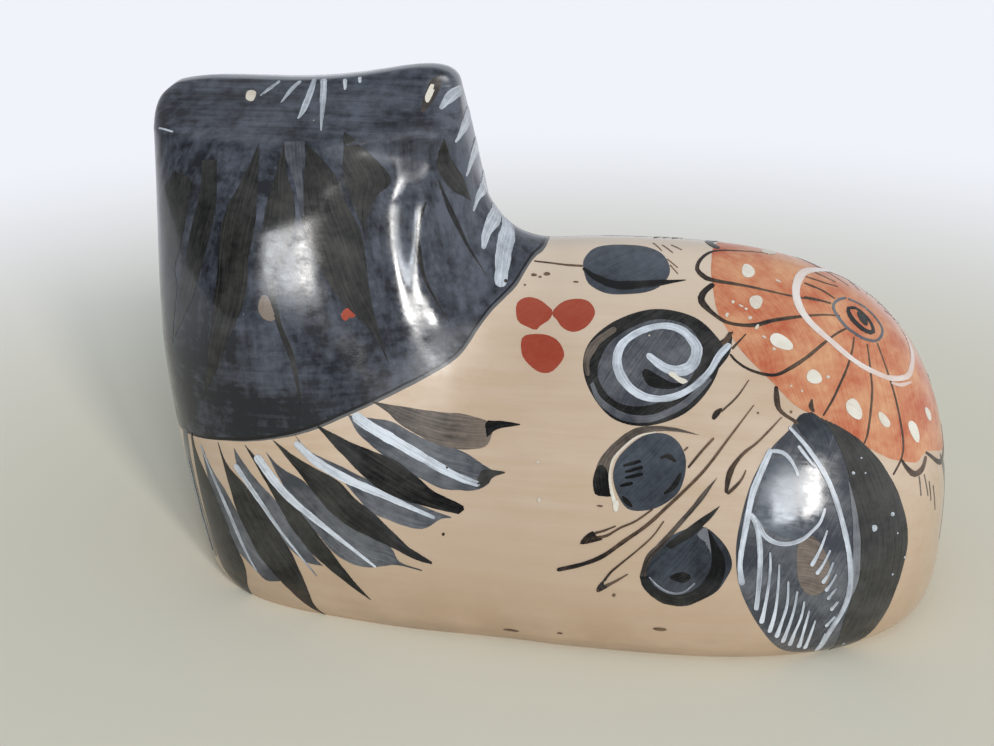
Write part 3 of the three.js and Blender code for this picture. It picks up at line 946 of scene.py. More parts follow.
def build_bare_clay():
    """Sandy matt clay: clouds of two colours, dark grains, and a rough height."""
    material, tree, place = new_material("bare_clay")
    clouds = noise(tree, place, (60.0, 60.0, 60.0), 4.0, 0.65)
    grain = noise(tree, place, (1500.0, 1500.0, 1500.0), 2.0, 0.7)
    share = stirred(tree, clouds, grain, 0.6)
    colour = mix(tree, scaled(tree, share, 0.3, 0.7), CLAY_DEEP, CLAY_PALE)
    aged = use_group(tree, AGE, {
        "Place": place, "Color": colour, "Speck": DARK_SPECK, "Share": 0.3, "Darken": 0.2})
    scratches = noise(tree, place, (60.0, 1400.0, 1400.0), 3.0, 0.6)
    height = put(tree, "ShaderNodeBump", {
        "Strength": 0.8, "Distance": 0.0001, "Height": calc(tree, "ADD", grain, scratches)})
    rough = scaled(tree, grain, 0.3, 0.7, 0.78, 0.95)
    shader = put(tree, "ShaderNodeBsdfPrincipled", {
        "Base Color": aged["Color"], "Roughness": rough, "Normal": height.outputs[0]})
    put(tree, "ShaderNodeOutputMaterial", {"Surface": shader.outputs[0]})
    return material


BARE_CLAY = build_bare_clay()
for node in ("base_slab", "seam_coil", "base_coil"):
    for place in frame["nodes"][node].material_slots:
        place.material = BARE_CLAY
print("materials:", len(bpy.data.materials))

# %% [markdown]
# ## Brush marks
# A mark could be drawn in the material, but then its edge and its streaks would need a picture.
# Here it is what it is on the pot: a very thin coat lying on the clay. Each mark is a grid of
# points on the skin. The grid is lifted by a few hundredths of a millimetre, given an underside
# sunk into the clay, and closed. It keeps the skin's own normals, so it shines as one with it.

# %% Lines on the skin
GRID_STEP = 0.7


def steps_for(line):
    """How many grid steps a line needs."""
    return int(np.clip(np.linalg.norm(np.diff(line, axis=0), axis=1).sum() / GRID_STEP, 5, 300))


def across_of(line, normals):
    """Unit vectors across a line on the skin: its normals crossed with its own direction."""
    side = np.cross(normals, np.gradient(line, axis=0))
    return side / np.maximum(np.linalg.norm(side, axis=1, keepdims=True), 1e-9)


def wobble(count, start):
    """Unsteady hand: three sine waves of unlike length along the mark, from -1 to 1."""
    u = np.arange(count) * GRID_STEP
    waves = np.sin(1.3 * u + start) + 0.6 * np.sin(3.1 * u + 2 * start) + 0.4 * np.sin(6.7 * u + start)
    return waves / 2


print("grid steps on a line of 10 mm:", steps_for(np.array([[0.0, 0, 0], [10.0, 0, 0]])))

# %% Strokes and bands
EDGE_WOBBLE = 0.05
CAP_STEPS = 4
FINEST = 0.02


def stroke(points, widths, tone=0.7):
    """One pull of the brush: a ribbon whose width follows the list of widths, in millimetres.
    At both ends it closes like a circle: the half width is the root of 1 less the square of the
    share that is still open."""
    points = np.asarray(points, float)
    length = np.linalg.norm(np.diff(points, axis=0), axis=1).sum()
    caps = np.minimum(np.array([widths[0], widths[-1]]) / 2 / length, 0.3)
    quarter = np.linspace(0, 1, CAP_STEPS, endpoint=False)
    opened = 1 - np.sqrt(1 - quarter ** 2)
    body = np.linspace(caps[0], 1 - caps[1], steps_for(points) + 1)
    share = np.concatenate([caps[0] * opened, body, 1 - caps[1] * opened[::-1]])
    line, normals = on_clay(flowing(points, share))
    half = np.interp(share, np.linspace(0, 1, len(widths)), widths) / 2
    half = half * (1 + 2 * EDGE_WOBBLE * wobble(len(share), points[0, 0]))
    half *= np.sqrt(1 - np.clip(1 - share / caps[0], 0, 1) ** 2)
    half *= np.sqrt(1 - np.clip(1 - (1 - share) / caps[1], 0, 1) ** 2)
    half = np.maximum(half, FINEST)
    rows = int(np.clip(2 * half.max() / GRID_STEP, 2, 12)) + 1
    spread = np.linspace(-1, 1, rows)[None, :, None]
    return line[:, None] + (half[:, None] * across_of(line, normals))[:, None] * spread, tone


def band(edge_a, edge_b, tone=0.7):
    """A leaf or crescent between two edges that both run from its base to its tip."""
    count = max(steps_for(np.asarray(edge_a)), steps_for(np.asarray(edge_b))) + 1
    a, b = flowing(edge_a, count), flowing(edge_b, count)
    middle, normals = on_clay((a + b) / 2, rounds=3)
    ways = across_of(middle, normals)
    ways *= np.where(((b - a) * ways).sum() < 0, -1, 1)
    unsteady = EDGE_WOBBLE * np.minimum(np.linalg.norm(b - a, axis=1), 1.0)[:, None]
    a = a - ways * (FINEST + unsteady * wobble(count, a[0, 0])[:, None])
    b = b + ways * (FINEST + unsteady * wobble(count, b[0, 2])[:, None])
    rows = int(np.clip(np.linalg.norm(b - a, axis=1).max() / GRID_STEP, 2, 40)) + 1
    share = np.linspace(0, 1, rows)[None, :, None]
    return a[:, None] * (1 - share) + b[:, None] * share, tone


print("finest edge of a mark:", FINEST, "mm")


# %% Spots
def patch(ring, tone=0.7):
    """A spot inside a closed line. Quarters of the line are the sides of a grid, which is filled
    by adding the blends of opposite sides and taking away the blend of the corners."""
    n = int(np.clip(steps_for(np.asarray(ring)) // 4 + 1, 4, 80))
    line = flowing(ring, 4 * n + 1, closed=True)
    west, north = line[:n + 1], line[n:2 * n + 1]
    east, south = line[2 * n:3 * n + 1][::-1], line[3 * n:][::-1]
    u = np.linspace(0, 1, n + 1)[:, None, None]
    v = np.linspace(0, 1, n + 1)[None, :, None]
    corners = (1 - u) * (1 - v) * line[0] + u * (1 - v) * line[n]
    corners = corners + (1 - u) * v * line[3 * n] + u * v * line[2 * n]
    grid = (1 - v) * west[:, None] + v * east[:, None] + (1 - u) * south[None] + u * north[None]
    return grid - corners, tone


def spot(centre, width, height, turn=0.0, tone=0.7, corners=12):
    """An oval dab with an uneven edge, turned on the skin by an angle in degrees."""
    centre, normal = on_clay(np.asarray(centre, float).reshape(1, 3))
    level = np.cross([0.0, 0.0, 1.0], normal[0])
    level /= np.linalg.norm(level)
    upright = np.cross(normal[0], level)
    angle = np.linspace(0, 2 * np.pi, corners, endpoint=False)
    uneven = 1 + 0.08 * np.sin(2 * angle + centre[0, 0]) + 0.07 * np.sin(3 * angle + centre[0, 2])
    along, over = uneven * np.cos(angle) * width / 2, uneven * np.sin(angle) * height / 2
    lean = np.radians(turn)
    ring = np.outer(along * np.cos(lean) - over * np.sin(lean), level)
    ring = ring + np.outer(along * np.sin(lean) + over * np.cos(lean), upright)
    return patch(centre + ring, tone)


print("points in a dab of 2 mm:", spot(seen([BACK_PIXEL])[0], 2.0, 2.0)[0].shape[:2])

# %% One coat
MIRROR_PLANE = 0.0
COAT_LIFT, COAT_SUNK = 0.035, 0.12
PROJECTION_ROUNDS = 14
BRUSH_SHIFT = (13.7, 5.3)


def mirrored(mark, plane=MIRROR_PLANE):
    """The same mark on the other side of an upright plane along the cat."""
    grid, tone = mark
    grid = grid.copy()
    grid[..., 1] = 2 * plane - grid[..., 1]
    return grid, tone


def laid(grid, tone, lift, start):
    """Points, faces, normals, brush map and tones of one closed coat. A tone is one number, or a
    list that is spread along the mark."""
    grid, normals = on_clay(grid, PROJECTION_ROUNDS)
    turned = np.cross(np.gradient(grid, axis=0), np.gradient(grid, axis=1))
    if (turned * normals).sum() > 0:
        grid, normals = grid[:, ::-1], normals[:, ::-1]
    rows, columns = grid.shape[:2]
    number = np.arange(rows * columns).reshape(rows, columns)
    top = np.stack([number[:-1, :-1], number[:-1, 1:], number[1:, 1:], number[1:, :-1]], axis=-1)
    top = top.reshape(-1, 4)
    under = top[:, ::-1] + number.size
    rim = np.concatenate([number[0, :-1], number[:-1, -1], number[-1, :0:-1], number[:0:-1, 0]])
    after = np.roll(rim, -1)
    side = np.stack([after, rim, rim + number.size, after + number.size], axis=-1)
    along = np.linalg.norm(np.diff(grid, axis=0), axis=-1).mean(axis=1)
    over = np.linalg.norm(np.diff(grid, axis=1), axis=-1)
    u = np.concatenate([[0], np.cumsum(along)])[:, None] * np.ones(columns)
    v = np.concatenate([np.zeros((rows, 1)), np.cumsum(over, axis=1)], axis=1)
    v = v - v[:, -1:] / 2
    brush = np.stack([u + BRUSH_SHIFT[0] * start, v + BRUSH_SHIFT[1] * start], axis=-1).reshape(-1, 2)
    flat, out = grid.reshape(-1, 3), normals.reshape(-1, 3)
    points = np.concatenate([flat + out * lift, flat - out * COAT_SUNK])
    points[:, 2] = np.maximum(points[:, 2], 0)
    faces = np.concatenate([top, side, under])
    seen_faces = np.arange(len(faces)) < len(top) + len(side)
    tone = np.atleast_1d(tone)
    tones = np.interp(np.linspace(0, 1, rows), np.linspace(0, 1, len(tone)), tone)
    tones = np.tile(np.repeat(tones, columns), 2)
    return points, faces, np.tile(out, (2, 1)), np.tile(brush, (2, 1)), tones, seen_faces


print("a coat stands", COAT_LIFT, "mm proud for each layer")


# %% From marks to a painted piece
def paint(name, marks, slip, layer=1, both=True):
    """Lays marks on the clay as one piece. A higher layer lies over the lower ones, and most
    marks are repeated on the other flank."""
    if both:
        marks = marks + [mirrored(mark) for mark in marks]
    coats = [laid(*mark, COAT_LIFT * layer, start) for start, mark in enumerate(marks)]
    sizes = np.cumsum([0] + [len(coat[0]) for coat in coats])
    faces = np.concatenate([coat[1] + before for coat, before in zip(coats, sizes)])
    points, normals, brush, tones, seen_faces = (
        np.concatenate([coat[i] for coat in coats]) for i in (0, 2, 3, 4, 5))
    piece = new_piece(name, points, faces, normals, seen_faces, brush, {"tone": tones})
    finish_piece(piece, *slip)
    print(name, len(marks), "marks", len(piece.data.polygons), "faces")
    return piece


print("marks are mirrored across y =", MIRROR_PLANE)


# %% Marks read from the photograph
def leaf(edges, tone=0.7):
    """A band between two edges read from the photograph."""
    return band(seen(edges[0]), seen(edges[1]), tone)


def line(pixels, widths, tone=0.7):
    """A stroke along pixels of the photograph."""
    return stroke(seen(pixels), widths, tone)


def blot(pixels, tone=0.7):
    """A spot inside a closed line of pixels."""
    return patch(seen(pixels), tone)


def dabs(places, tone, turn=0.0, corners=9):
    """Oval dabs, each given by its pixel, its width and its height in millimetres."""
    return [spot(seen([pixel])[0], wide, tall, turn, tone, corners) for pixel, wide, tall in places]


print("width of one pixel on the back:", round(NEAR / FOCAL_PIXELS, 2), "mm or more")

# %% [markdown]
# ## The hood
# Over the blue-grey wash hang dark feathers, pointed below, with pale gaps between them. Beside
# them lie three thin dark strokes, some worn places and the white strokes that come over the
# crown from the face. Each feather is a band between two edges.

# %% Dark feathers behind the head
FEATHERS = [
    ([(175, 171), (161, 198), (161, 234), (163, 278), (168, 300), (173, 344)],
     [(175, 171), (192, 184), (183, 234), (175, 267), (177, 290), (173, 344)]),
    ([(202, 160), (200, 193), (192, 225), (179, 298), (175, 337)],
     [(217, 160), (215, 211), (204, 256), (192, 299), (175, 337)]),
    ([(259, 143), (242, 180), (223, 220), (217, 278), (212, 319), (206, 384), (202, 399)],
     [(259, 143), (258, 180), (255, 225), (248, 259), (244, 301), (219, 364), (202, 399)]),
    ([(284, 143), (275, 176), (265, 211), (262, 256), (267, 286), (277, 326), (291, 364), (303, 416)],
     [(284, 143), (287, 176), (294, 198), (293, 229), (277, 284), (281, 322), (295, 359), (303, 416)]),
    ([(307, 144), (304, 178), (302, 220), (320, 267), (340, 299), (373, 334), (389, 364)],
     [(307, 144), (333, 172), (344, 200), (362, 236), (370, 295), (381, 339), (389, 364)]),
    ([(344, 132), (344, 176), (356, 211), (365, 234)],
     [(344, 132), (371, 155), (391, 180), (375, 198), (367, 220), (365, 234)]),
    ([(444, 138), (437, 167), (451, 189), (471, 201)],
     [(444, 138), (452, 160), (464, 180), (471, 201)]),
]
SIDE_CURVES = [
    [(438, 180), (449, 207), (462, 234), (474, 256), (487, 276)],
    [(426, 202), (416, 231), (418, 248), (425, 279), (438, 304), (449, 322)],
]
feathers = [leaf(edges, 0.62) for edges in FEATHERS]
feathers += [line(pixels, [0.3, 1.0, 0.5, 0.1], 0.8) for pixels in SIDE_CURVES]
paint("hood_feathers", feathers, BLACK_SLIP, both=False)

# %% Pale feather, worn places and chips on the hood
PALE_FEATHER = ([(285, 142), (285, 155), (290, 169), (296, 189), (301, 216)],
                [(305, 142), (304, 158), (302, 171), (303, 189), (304, 216)])
OLIVE_EAR = [(423, 100), (431, 80), (442, 77), (438, 93), (427, 109), (421, 113)]
RED_SMUDGE = [(341, 315), (347, 308), (356, 313), (353, 318), (350, 317), (345, 321)]
WORN_OVAL = [(262, 295), (258, 308), (264, 319), (275, 320), (271, 304), (268, 297)]
EAR_FLECK = [(431, 84), (435, 88), (428, 103), (425, 97)]
CROWN_CHIP = [(248, 91), (256, 92), (253, 101), (246, 99)]
paint("hood_pale_feather", [leaf(PALE_FEATHER, 0.8)], GREY_SLIP, 2, both=False)
paint("hood_smudge", [blot(RED_SMUDGE, 0.6)], RED_SLIP, both=False)
paint("hood_chips", [blot(EAR_FLECK, 0.6), blot(CROWN_CHIP, 0.5)], CREAM_SLIP, 2, both=False)
paint("hood_worn_places", [blot(OLIVE_EAR, 1.0), blot(WORN_OVAL, 0.1)], BROWN_SLIP, both=False)

# %% White strokes of the crown and the neck
CROWN_STROKES = [
    ([(280, 81), (260, 96)], [0.5, 0.7, 0.2]),
    ([(301, 81), (293, 88), (281, 103)], [0.6, 0.8, 0.2]),
    ([(315, 79), (311, 91), (304, 109), (298, 119)], [0.7, 1.0, 1.2, 0.3]),
    ([(324, 79), (323, 100), (321, 131)], [1.1, 0.9, 0.2]),
    ([(345, 79), (345, 90)], [0.8, 0.3]),
    ([(360, 77), (360, 83)], [0.7, 0.4]),
]
NECK_STROKES = [
    ([(461, 88), (450, 97), (440, 109)], [1.2, 1.9, 0.5]),
    ([(472, 110), (464, 126), (455, 142)], [2.4, 2.3, 0.4]),
    ([(479, 140), (472, 158), (466, 176)], [2.4, 2.0, 0.4]),
    ([(488, 174), (480, 193), (473, 211)], [2.8, 2.2, 0.5]),
    ([(496, 206), (488, 229), (483, 249)], [2.6, 2.5, 0.7]),
    ([(509, 214), (504, 250), (500, 287)], [2.4, 2.9, 1.9]),
]
EDGE_DASH = [(159, 128), (173, 132)]
hood_white = [line(pixels, widths, [0.35, 0.45, 0.6]) for pixels, widths in CROWN_STROKES + NECK_STROKES]
hood_white.append(line(EDGE_DASH, [0.3, 0.3], 0.5))
paint("hood_white_strokes", hood_white, WHITE_SLIP, 2, both=False)

# %% [markdown]
# ## The fringe
# Long leaves hang from the collar over the breast and shoulder: black ones, grey ones split by a
# white line, and one brown. They start as thin stems just under the line and end in points.
# The other shoulder has the same fringe, and three plain leaves join the two over the breast.

# %% Black leaves
BLACK_LEAVES = [
    ([(191, 432), (194, 455), (200, 487), (209, 524), (219, 557), (243, 592), (252, 594)],
     [(192, 432), (196, 450), (209, 481), (223, 514), (235, 544), (245, 567), (252, 594)]),
    ([(218, 442), (223, 461), (237, 510), (247, 531), (260, 556), (289, 589), (325, 615)],
     [(218, 442), (227, 464), (249, 490), (279, 533), (293, 556), (308, 590), (313, 603), (325, 615)]),
    ([(245, 445), (265, 480), (286, 518), (299, 537), (316, 557), (346, 582), (371, 600)],
     [(245, 445), (272, 475), (302, 514), (332, 553), (348, 574), (371, 600)]),
    ([(273, 440), (289, 460), (321, 501), (338, 518), (354, 529), (389, 546), (417, 560), (432, 564)],
     [(273, 440), (302, 461), (338, 481), (354, 498), (372, 512), (400, 539), (410, 548), (432, 562)]),
    ([(315, 424), (331, 442), (340, 452), (368, 480), (389, 494), (410, 502), (449, 512), (459, 514)],
     [(315, 424), (342, 438), (357, 445), (396, 461), (417, 477), (435, 492), (462, 505), (464, 510)]),
]
paint("fringe_black_leaves", [leaf(edges, [0.75, 0.6, 0.95]) for edges in BLACK_LEAVES], BLACK_SLIP, 2)

# %% Grey leaves
GREY_LEAVES = [
    ([(183, 426), (186, 455), (193, 490), (203, 525), (214, 556)],
     [(187, 430), (191, 458), (198, 490), (208, 525), (217, 556)]),
    ([(201, 445), (207, 472), (213, 501), (223, 528), (235, 547), (255, 569), (266, 580), (280, 581)],
     [(201, 445), (213, 471), (224, 488), (236, 510), (247, 531), (260, 551), (275, 570), (280, 580)]),
    ([(234, 448), (237, 464), (249, 488), (266, 517), (285, 543), (305, 561), (323, 566)],
     [(234, 448), (245, 465), (260, 484), (275, 500), (286, 518), (312, 554), (323, 566)]),
    ([(266, 452), (286, 490), (302, 514), (323, 540), (338, 556), (364, 567), (396, 565), (422, 571)],
     [(266, 452), (280, 467), (303, 481), (323, 501), (360, 530), (389, 546), (400, 562), (422, 570)]),
    ([(295, 435), (312, 460), (340, 478), (368, 509), (389, 520), (420, 529), (441, 519), (451, 518)],
     [(295, 435), (309, 451), (340, 466), (382, 487), (410, 501), (437, 512), (451, 517)]),
    ([(348, 415), (361, 436), (396, 464), (438, 487), (459, 490), (476, 490), (487, 485), (493, 477),
      (505, 473)],
     [(348, 415), (368, 418), (392, 422), (424, 439), (459, 450), (475, 459), (492, 470), (505, 472)]),
]
paint("fringe_grey_leaves", [leaf(edges, [0.6, 0.75, 0.45, 0.9]) for edges in GREY_LEAVES], GREY_SLIP)

# %% Brown leaf and the dark tips
BROWN_LEAF = ([(371, 401), (386, 411), (403, 426), (438, 445), (459, 449), (475, 449), (487, 445),
               (493, 431)],
              [(371, 401), (386, 404), (438, 412), (462, 414), (487, 421), (493, 429)])
BROWN_TIP = ([(486, 428), (487, 437), (491, 434), (494, 431), (501, 428), (520, 425)],
             [(485, 427), (487, 421), (494, 421), (501, 421), (520, 424)])
GREY_TIP = ([(478, 478), (476, 488), (487, 485), (493, 477), (505, 473)],
            [(478, 477), (483, 470), (492, 470), (505, 472)])
paint("fringe_brown_leaf", [leaf(BROWN_LEAF, [0.9, 0.8, 0.6, 0.3, 0.05])], BROWN_SLIP)
paint("fringe_leaf_tips", [leaf(BROWN_TIP, 0.9), leaf(GREY_TIP, 0.35)], BLACK_SLIP, 3)

# %% White lines on the fringe
FRINGE_LINES = [
    ([(189, 460), (196, 490), (203, 517), (213, 550)], [0.4, 1.0, 1.0, 0.4], 0.15),
    ([(201, 445), (213, 475), (226, 505), (237, 531), (247, 553), (257, 571)],
     [0.3, 0.7, 0.8, 0.7, 0.3], 0.5),
    ([(235, 464), (247, 482), (260, 501), (277, 526), (294, 548), (317, 576)], [1.0, 0.9, 0.6, 0.4, 0.1],
     [0.9, 0.7, 0.6, 0.1]),
    ([(256, 455), (270, 475), (286, 494), (306, 512), (335, 535), (376, 567)], [1.5, 1.5, 1.1, 0.7, 0.4],
     [0.7, 0.9]),
    ([(295, 442), (316, 461), (345, 478), (379, 493), (410, 507), (435, 518)], [1.1, 1.5, 1.3, 0.9, 0.5],
     [0.8, 0.9, 0.7]),
    ([(353, 414), (366, 424), (388, 437), (422, 457), (454, 475), (480, 485)], [1.5, 1.7, 1.5, 1.3, 0.9],
     [0.7, 0.8, 0.9, 0.8, 0.4]),
]
fringe_white = [line(pixels, widths, tone) for pixels, widths, tone in FRINGE_LINES]
paint("fringe_white_lines", fringe_white, WHITE_SLIP, 3)

# %% [markdown]
# ## Round motifs of the flank
# Between shoulder and haunch sit three red berries, a dark oval on its stem beside the spine, a
# disc with a white spiral, and two smaller discs with curved strokes. Long thin stamens lean
# across them. Each round spot is a patch inside a closed line.

# %% Berries
BERRIES = [
    [(516, 307), (520, 300), (529, 297), (540, 300), (549, 307), (553, 312), (549, 320), (541, 325),
     (536, 330), (528, 327), (518, 321)],
    [(552, 313), (561, 303), (573, 299), (586, 300), (593, 306), (595, 314), (590, 323), (583, 329),
     (573, 332), (563, 328), (557, 320)],
    [(521, 343), (524, 336), (535, 334), (547, 335), (557, 340), (563, 349), (564, 357), (558, 366),
     (551, 372), (543, 373), (534, 369), (523, 357)],
]
paint("berries", [blot(ring, 0.75) for ring in BERRIES], RED_SLIP)

# %% Oval beside the spine
SPINE_OVAL = [(583, 265), (586, 256), (595, 248), (610, 245), (630, 245), (647, 247), (661, 253), (668, 262),
              (670, 271), (667, 279), (659, 287), (647, 292), (630, 294), (610, 294), (596, 289), (587, 281)]
SPINE_SWEEP = [(583, 268), (595, 277), (616, 285), (645, 284), (668, 282), (686, 280)]
SPINE_STEM = [(534, 261), (551, 263), (567, 265), (583, 266)]
SPINE_HAIRS = [[(667, 259), (678, 268)], [(670, 265), (678, 274)], [(653, 243), (662, 251)],
               [(662, 245), (673, 253)], [(671, 245), (682, 250)]]
paint("spine_oval", [blot(SPINE_OVAL, 0.45)], SLATE_SLIP)
paint("spine_oval_sweep", [line(SPINE_SWEEP, [0.5, 1.3, 1.5, 1.1, 0.1], 0.9)], BLACK_SLIP, 2)
spine_lines = [line(hair, [0.25, 0.15], 0.3) for hair in SPINE_HAIRS]
spine_lines.append(line(SPINE_STEM, [0.25, 0.3, 0.4], 0.6))
paint("spine_oval_lines", spine_lines, LINE_SLIP, 2)

# %% Spiral disc
SPIRAL_RIM = [(583, 363), (592, 339), (619, 319), (656, 309), (694, 317), (717, 337), (723, 352), (711, 386),
              (684, 414), (645, 426), (612, 418), (590, 391)]
SPIRAL_TAIL = ([(713, 345), (722, 340), (728, 335), (733, 331)],
               [(716, 372), (724, 362), (730, 352), (733, 334)])
SPIRAL_LOWER_RIM = ([(590, 385), (600, 405), (625, 421), (655, 421), (688, 405), (712, 380)],
                    [(593, 382), (603, 400), (628, 414), (655, 414), (684, 400), (708, 376)])
SPIRAL_GROUND = [(598, 377), (604, 351), (622, 333), (653, 320), (681, 323), (697, 337), (699, 360),
                 (681, 391), (645, 406), (615, 401)]
SPIRAL_BROWN = [(588, 376), (587, 360), (596, 343), (616, 328)]
SPIRAL_LEAF = [(642, 372), (647, 369), (661, 377), (673, 383), (685, 383), (676, 388), (662, 389),
               (648, 385)]
SPIRAL_LINE = [(647, 354), (655, 361), (665, 368), (676, 371), (687, 369), (694, 362), (697, 349),
               (691, 339), (681, 330), (665, 326), (647, 329), (632, 336), (621, 346), (617, 360),
               (620, 374), (630, 388), (645, 397), (662, 399), (679, 395), (696, 385), (710, 371),
               (719, 356), (730, 344)]
SPIRAL_CHIP = [(668, 374), (673, 372), (679, 377), (688, 381), (682, 384), (673, 378)]
paint("spiral_disc", [blot(SPIRAL_RIM, 0.8), leaf(SPIRAL_TAIL, 0.8)], BLACK_SLIP)
paint("spiral_disc_grey", [blot(SPIRAL_GROUND, 0.75), leaf(SPIRAL_LOWER_RIM, 0.6)], GREY_SLIP, 2)
paint("spiral_disc_brown", [line(SPIRAL_BROWN, [0.6, 1.3, 0.9], 0.5)], BROWN_SLIP, 2)
paint("spiral_disc_leaf", [blot(SPIRAL_LEAF, 0.95)], BLACK_SLIP, 3)
spiral_widths = [0.9, 1.5, 1.9, 1.5, 1.1, 1.0, 1.2, 1.5, 1.4, 1.1, 1.0, 1.0, 1.0, 1.1]
paint("spiral_line", [line(SPIRAL_LINE, spiral_widths, 0.75)], WHITE_SLIP, 4)
paint("spiral_chip", [blot(SPIRAL_CHIP, 0.8)], CREAM_SLIP, 5, both=False)

# %% Middle disc
MIDDLE_DISC = [(613, 473), (618, 458), (630, 445), (643, 436), (656, 433), (669, 435), (679, 443),
               (685, 455), (686, 466), (684, 479), (678, 493), (666, 503), (653, 509), (639, 511),
               (628, 509), (621, 501), (615, 488)]
MIDDLE_CRESCENT = ([(594, 484), (597, 466), (606, 451), (620, 438), (636, 428), (656, 426), (676, 428),
                    (699, 435)],
                   [(608, 484), (609, 470), (615, 456), (626, 445), (643, 435), (659, 431), (679, 432),
                    (699, 435)])
MIDDLE_BUD = [(595, 494), (593, 481), (597, 467), (603, 465), (608, 473), (609, 486), (612, 496), (601, 496)]
MIDDLE_GAP = [(656, 432), (639, 436), (625, 446), (613, 460), (610, 475), (611, 488), (616, 508)]
MIDDLE_DASHES = [[(623, 466), (641, 461)], [(625, 472), (643, 467)], [(625, 478), (643, 474)],
                 [(620, 486), (633, 483)]]
MIDDLE_SHADES = [[(664, 494), (674, 486), (681, 473)], [(622, 496), (628, 503), (632, 507)],
                 [(660, 458), (668, 456), (676, 462)]]
paint("middle_disc", [blot(MIDDLE_DISC, 0.45)], SLATE_SLIP)
paint("middle_disc_crescent", [leaf(MIDDLE_CRESCENT, 0.6)], BROWN_SLIP)
middle_marks = [blot(MIDDLE_BUD, 0.9)]
middle_marks += [line(dash, [0.35, 0.6, 0.45], 1.0) for dash in MIDDLE_DASHES]
middle_marks += [line(shade_line, [0.3, 0.9, 0.4], 0.7) for shade_line in MIDDLE_SHADES]
paint("middle_disc_marks", middle_marks, BLACK_SLIP, 2)
paint("middle_disc_gap", [line(MIDDLE_GAP, [0.2, 0.3, 0.35, 0.4, 0.7], 0.5)], CREAM_SLIP, 2)

# %% Lower disc
LOWER_DISC = [(641, 576), (643, 564), (649, 552), (666, 539), (686, 529), (704, 527), (719, 538), (729, 552),
              (732, 566), (726, 579), (716, 592), (699, 601), (683, 606), (666, 604), (653, 597), (643, 587)]
LEFT_STEM = ([(717, 478), (706, 489), (688, 511), (668, 533), (656, 546), (646, 557), (640, 576)],
             [(717, 478), (702, 501), (683, 523), (666, 543), (654, 556), (648, 566), (646, 577)])
RIGHT_STEM = ([(720, 506), (706, 515), (689, 527), (678, 535), (665, 546)],
              [(720, 506), (711, 518), (699, 530), (689, 538), (671, 549)])
LOWER_PALE = [(706, 527), (697, 535), (706, 543), (711, 554), (709, 538)]
LOWER_RIM = ([(640, 576), (643, 587), (653, 597), (666, 604), (683, 606), (699, 601), (716, 591), (724, 576),
              (725, 562), (719, 547), (706, 527)],
             [(648, 576), (654, 586), (666, 593), (684, 594), (698, 587), (707, 576), (712, 559), (710, 541),
              (706, 527)])
LOWER_ARC = [(649, 577), (659, 587), (671, 593), (684, 592), (695, 583)]
LOWER_BLOT = [(669, 577), (683, 572), (691, 577), (683, 583)]
paint("lower_disc", [blot(LOWER_DISC, 0.7)], SLATE_SLIP)
paint("lower_disc_stem", [leaf(LEFT_STEM, 0.8)], BROWN_SLIP, 2)
lower_marks = [leaf(LOWER_RIM, 0.95), leaf(RIGHT_STEM, 0.75), blot(LOWER_BLOT, 1.0)]
paint("lower_disc_marks", lower_marks, BLACK_SLIP, 2)
paint("lower_disc_lights", [line(LOWER_ARC, [0.2, 0.35, 0.35, 0.2], 0.1)], WHITE_SLIP, 3)
paint("lower_disc_pale", [blot(LOWER_PALE, 0.1)], GREY_SLIP, 3)

# %% Stamens
STAMENS = [
    ([(754, 405), (729, 438), (702, 473), (666, 508), (646, 526), (623, 542), (603, 556), (583, 564),
      (557, 570)], [0.15, 0.35, 0.45, 0.5, 0.55, 0.65, 0.6]),
    ([(714, 438), (702, 451), (688, 468)], [0.35, 0.4, 0.3]),
    ([(653, 509), (636, 521), (620, 528), (606, 536), (591, 538)], [0.3, 0.3, 0.35, 0.5]),
    ([(616, 526), (603, 531), (595, 533)], [0.2, 0.35, 0.4]),
    ([(664, 521), (653, 536), (639, 549), (623, 562), (611, 572), (604, 581)], [0.2, 0.25, 0.25, 0.3, 0.4]),
    ([(628, 574), (616, 581), (606, 586), (597, 591)], [0.15, 0.35, 0.55, 0.6]),
    ([(782, 417), (759, 441), (744, 453), (734, 465), (729, 476), (726, 493)],
     [0.15, 0.3, 0.35, 0.5, 0.9, 0.5]),
    ([(746, 470), (742, 479), (734, 488), (727, 494)], [0.15, 0.35, 0.5, 0.5]),
    ([(749, 380), (737, 397), (721, 412)], [0.15, 0.25, 0.3]),
    ([(684, 451), (688, 447)], [0.2, 0.3]),
]
STAMEN_BUDS = [
    [(580, 544), (585, 536), (594, 531), (596, 538), (604, 539), (590, 543)],
    [(598, 586), (604, 580), (604, 585), (608, 587), (597, 592)],
    [(712, 417), (715, 411), (722, 408), (720, 414), (714, 420)],
]
stamens = [line(pixels, widths, [0.35, 0.5, 0.7, 1.0]) for pixels, widths in STAMENS]
stamens += [blot(ring, 1.0) for ring in STAMEN_BUDS]
paint("stamens", stamens, LINE_SLIP, 3)

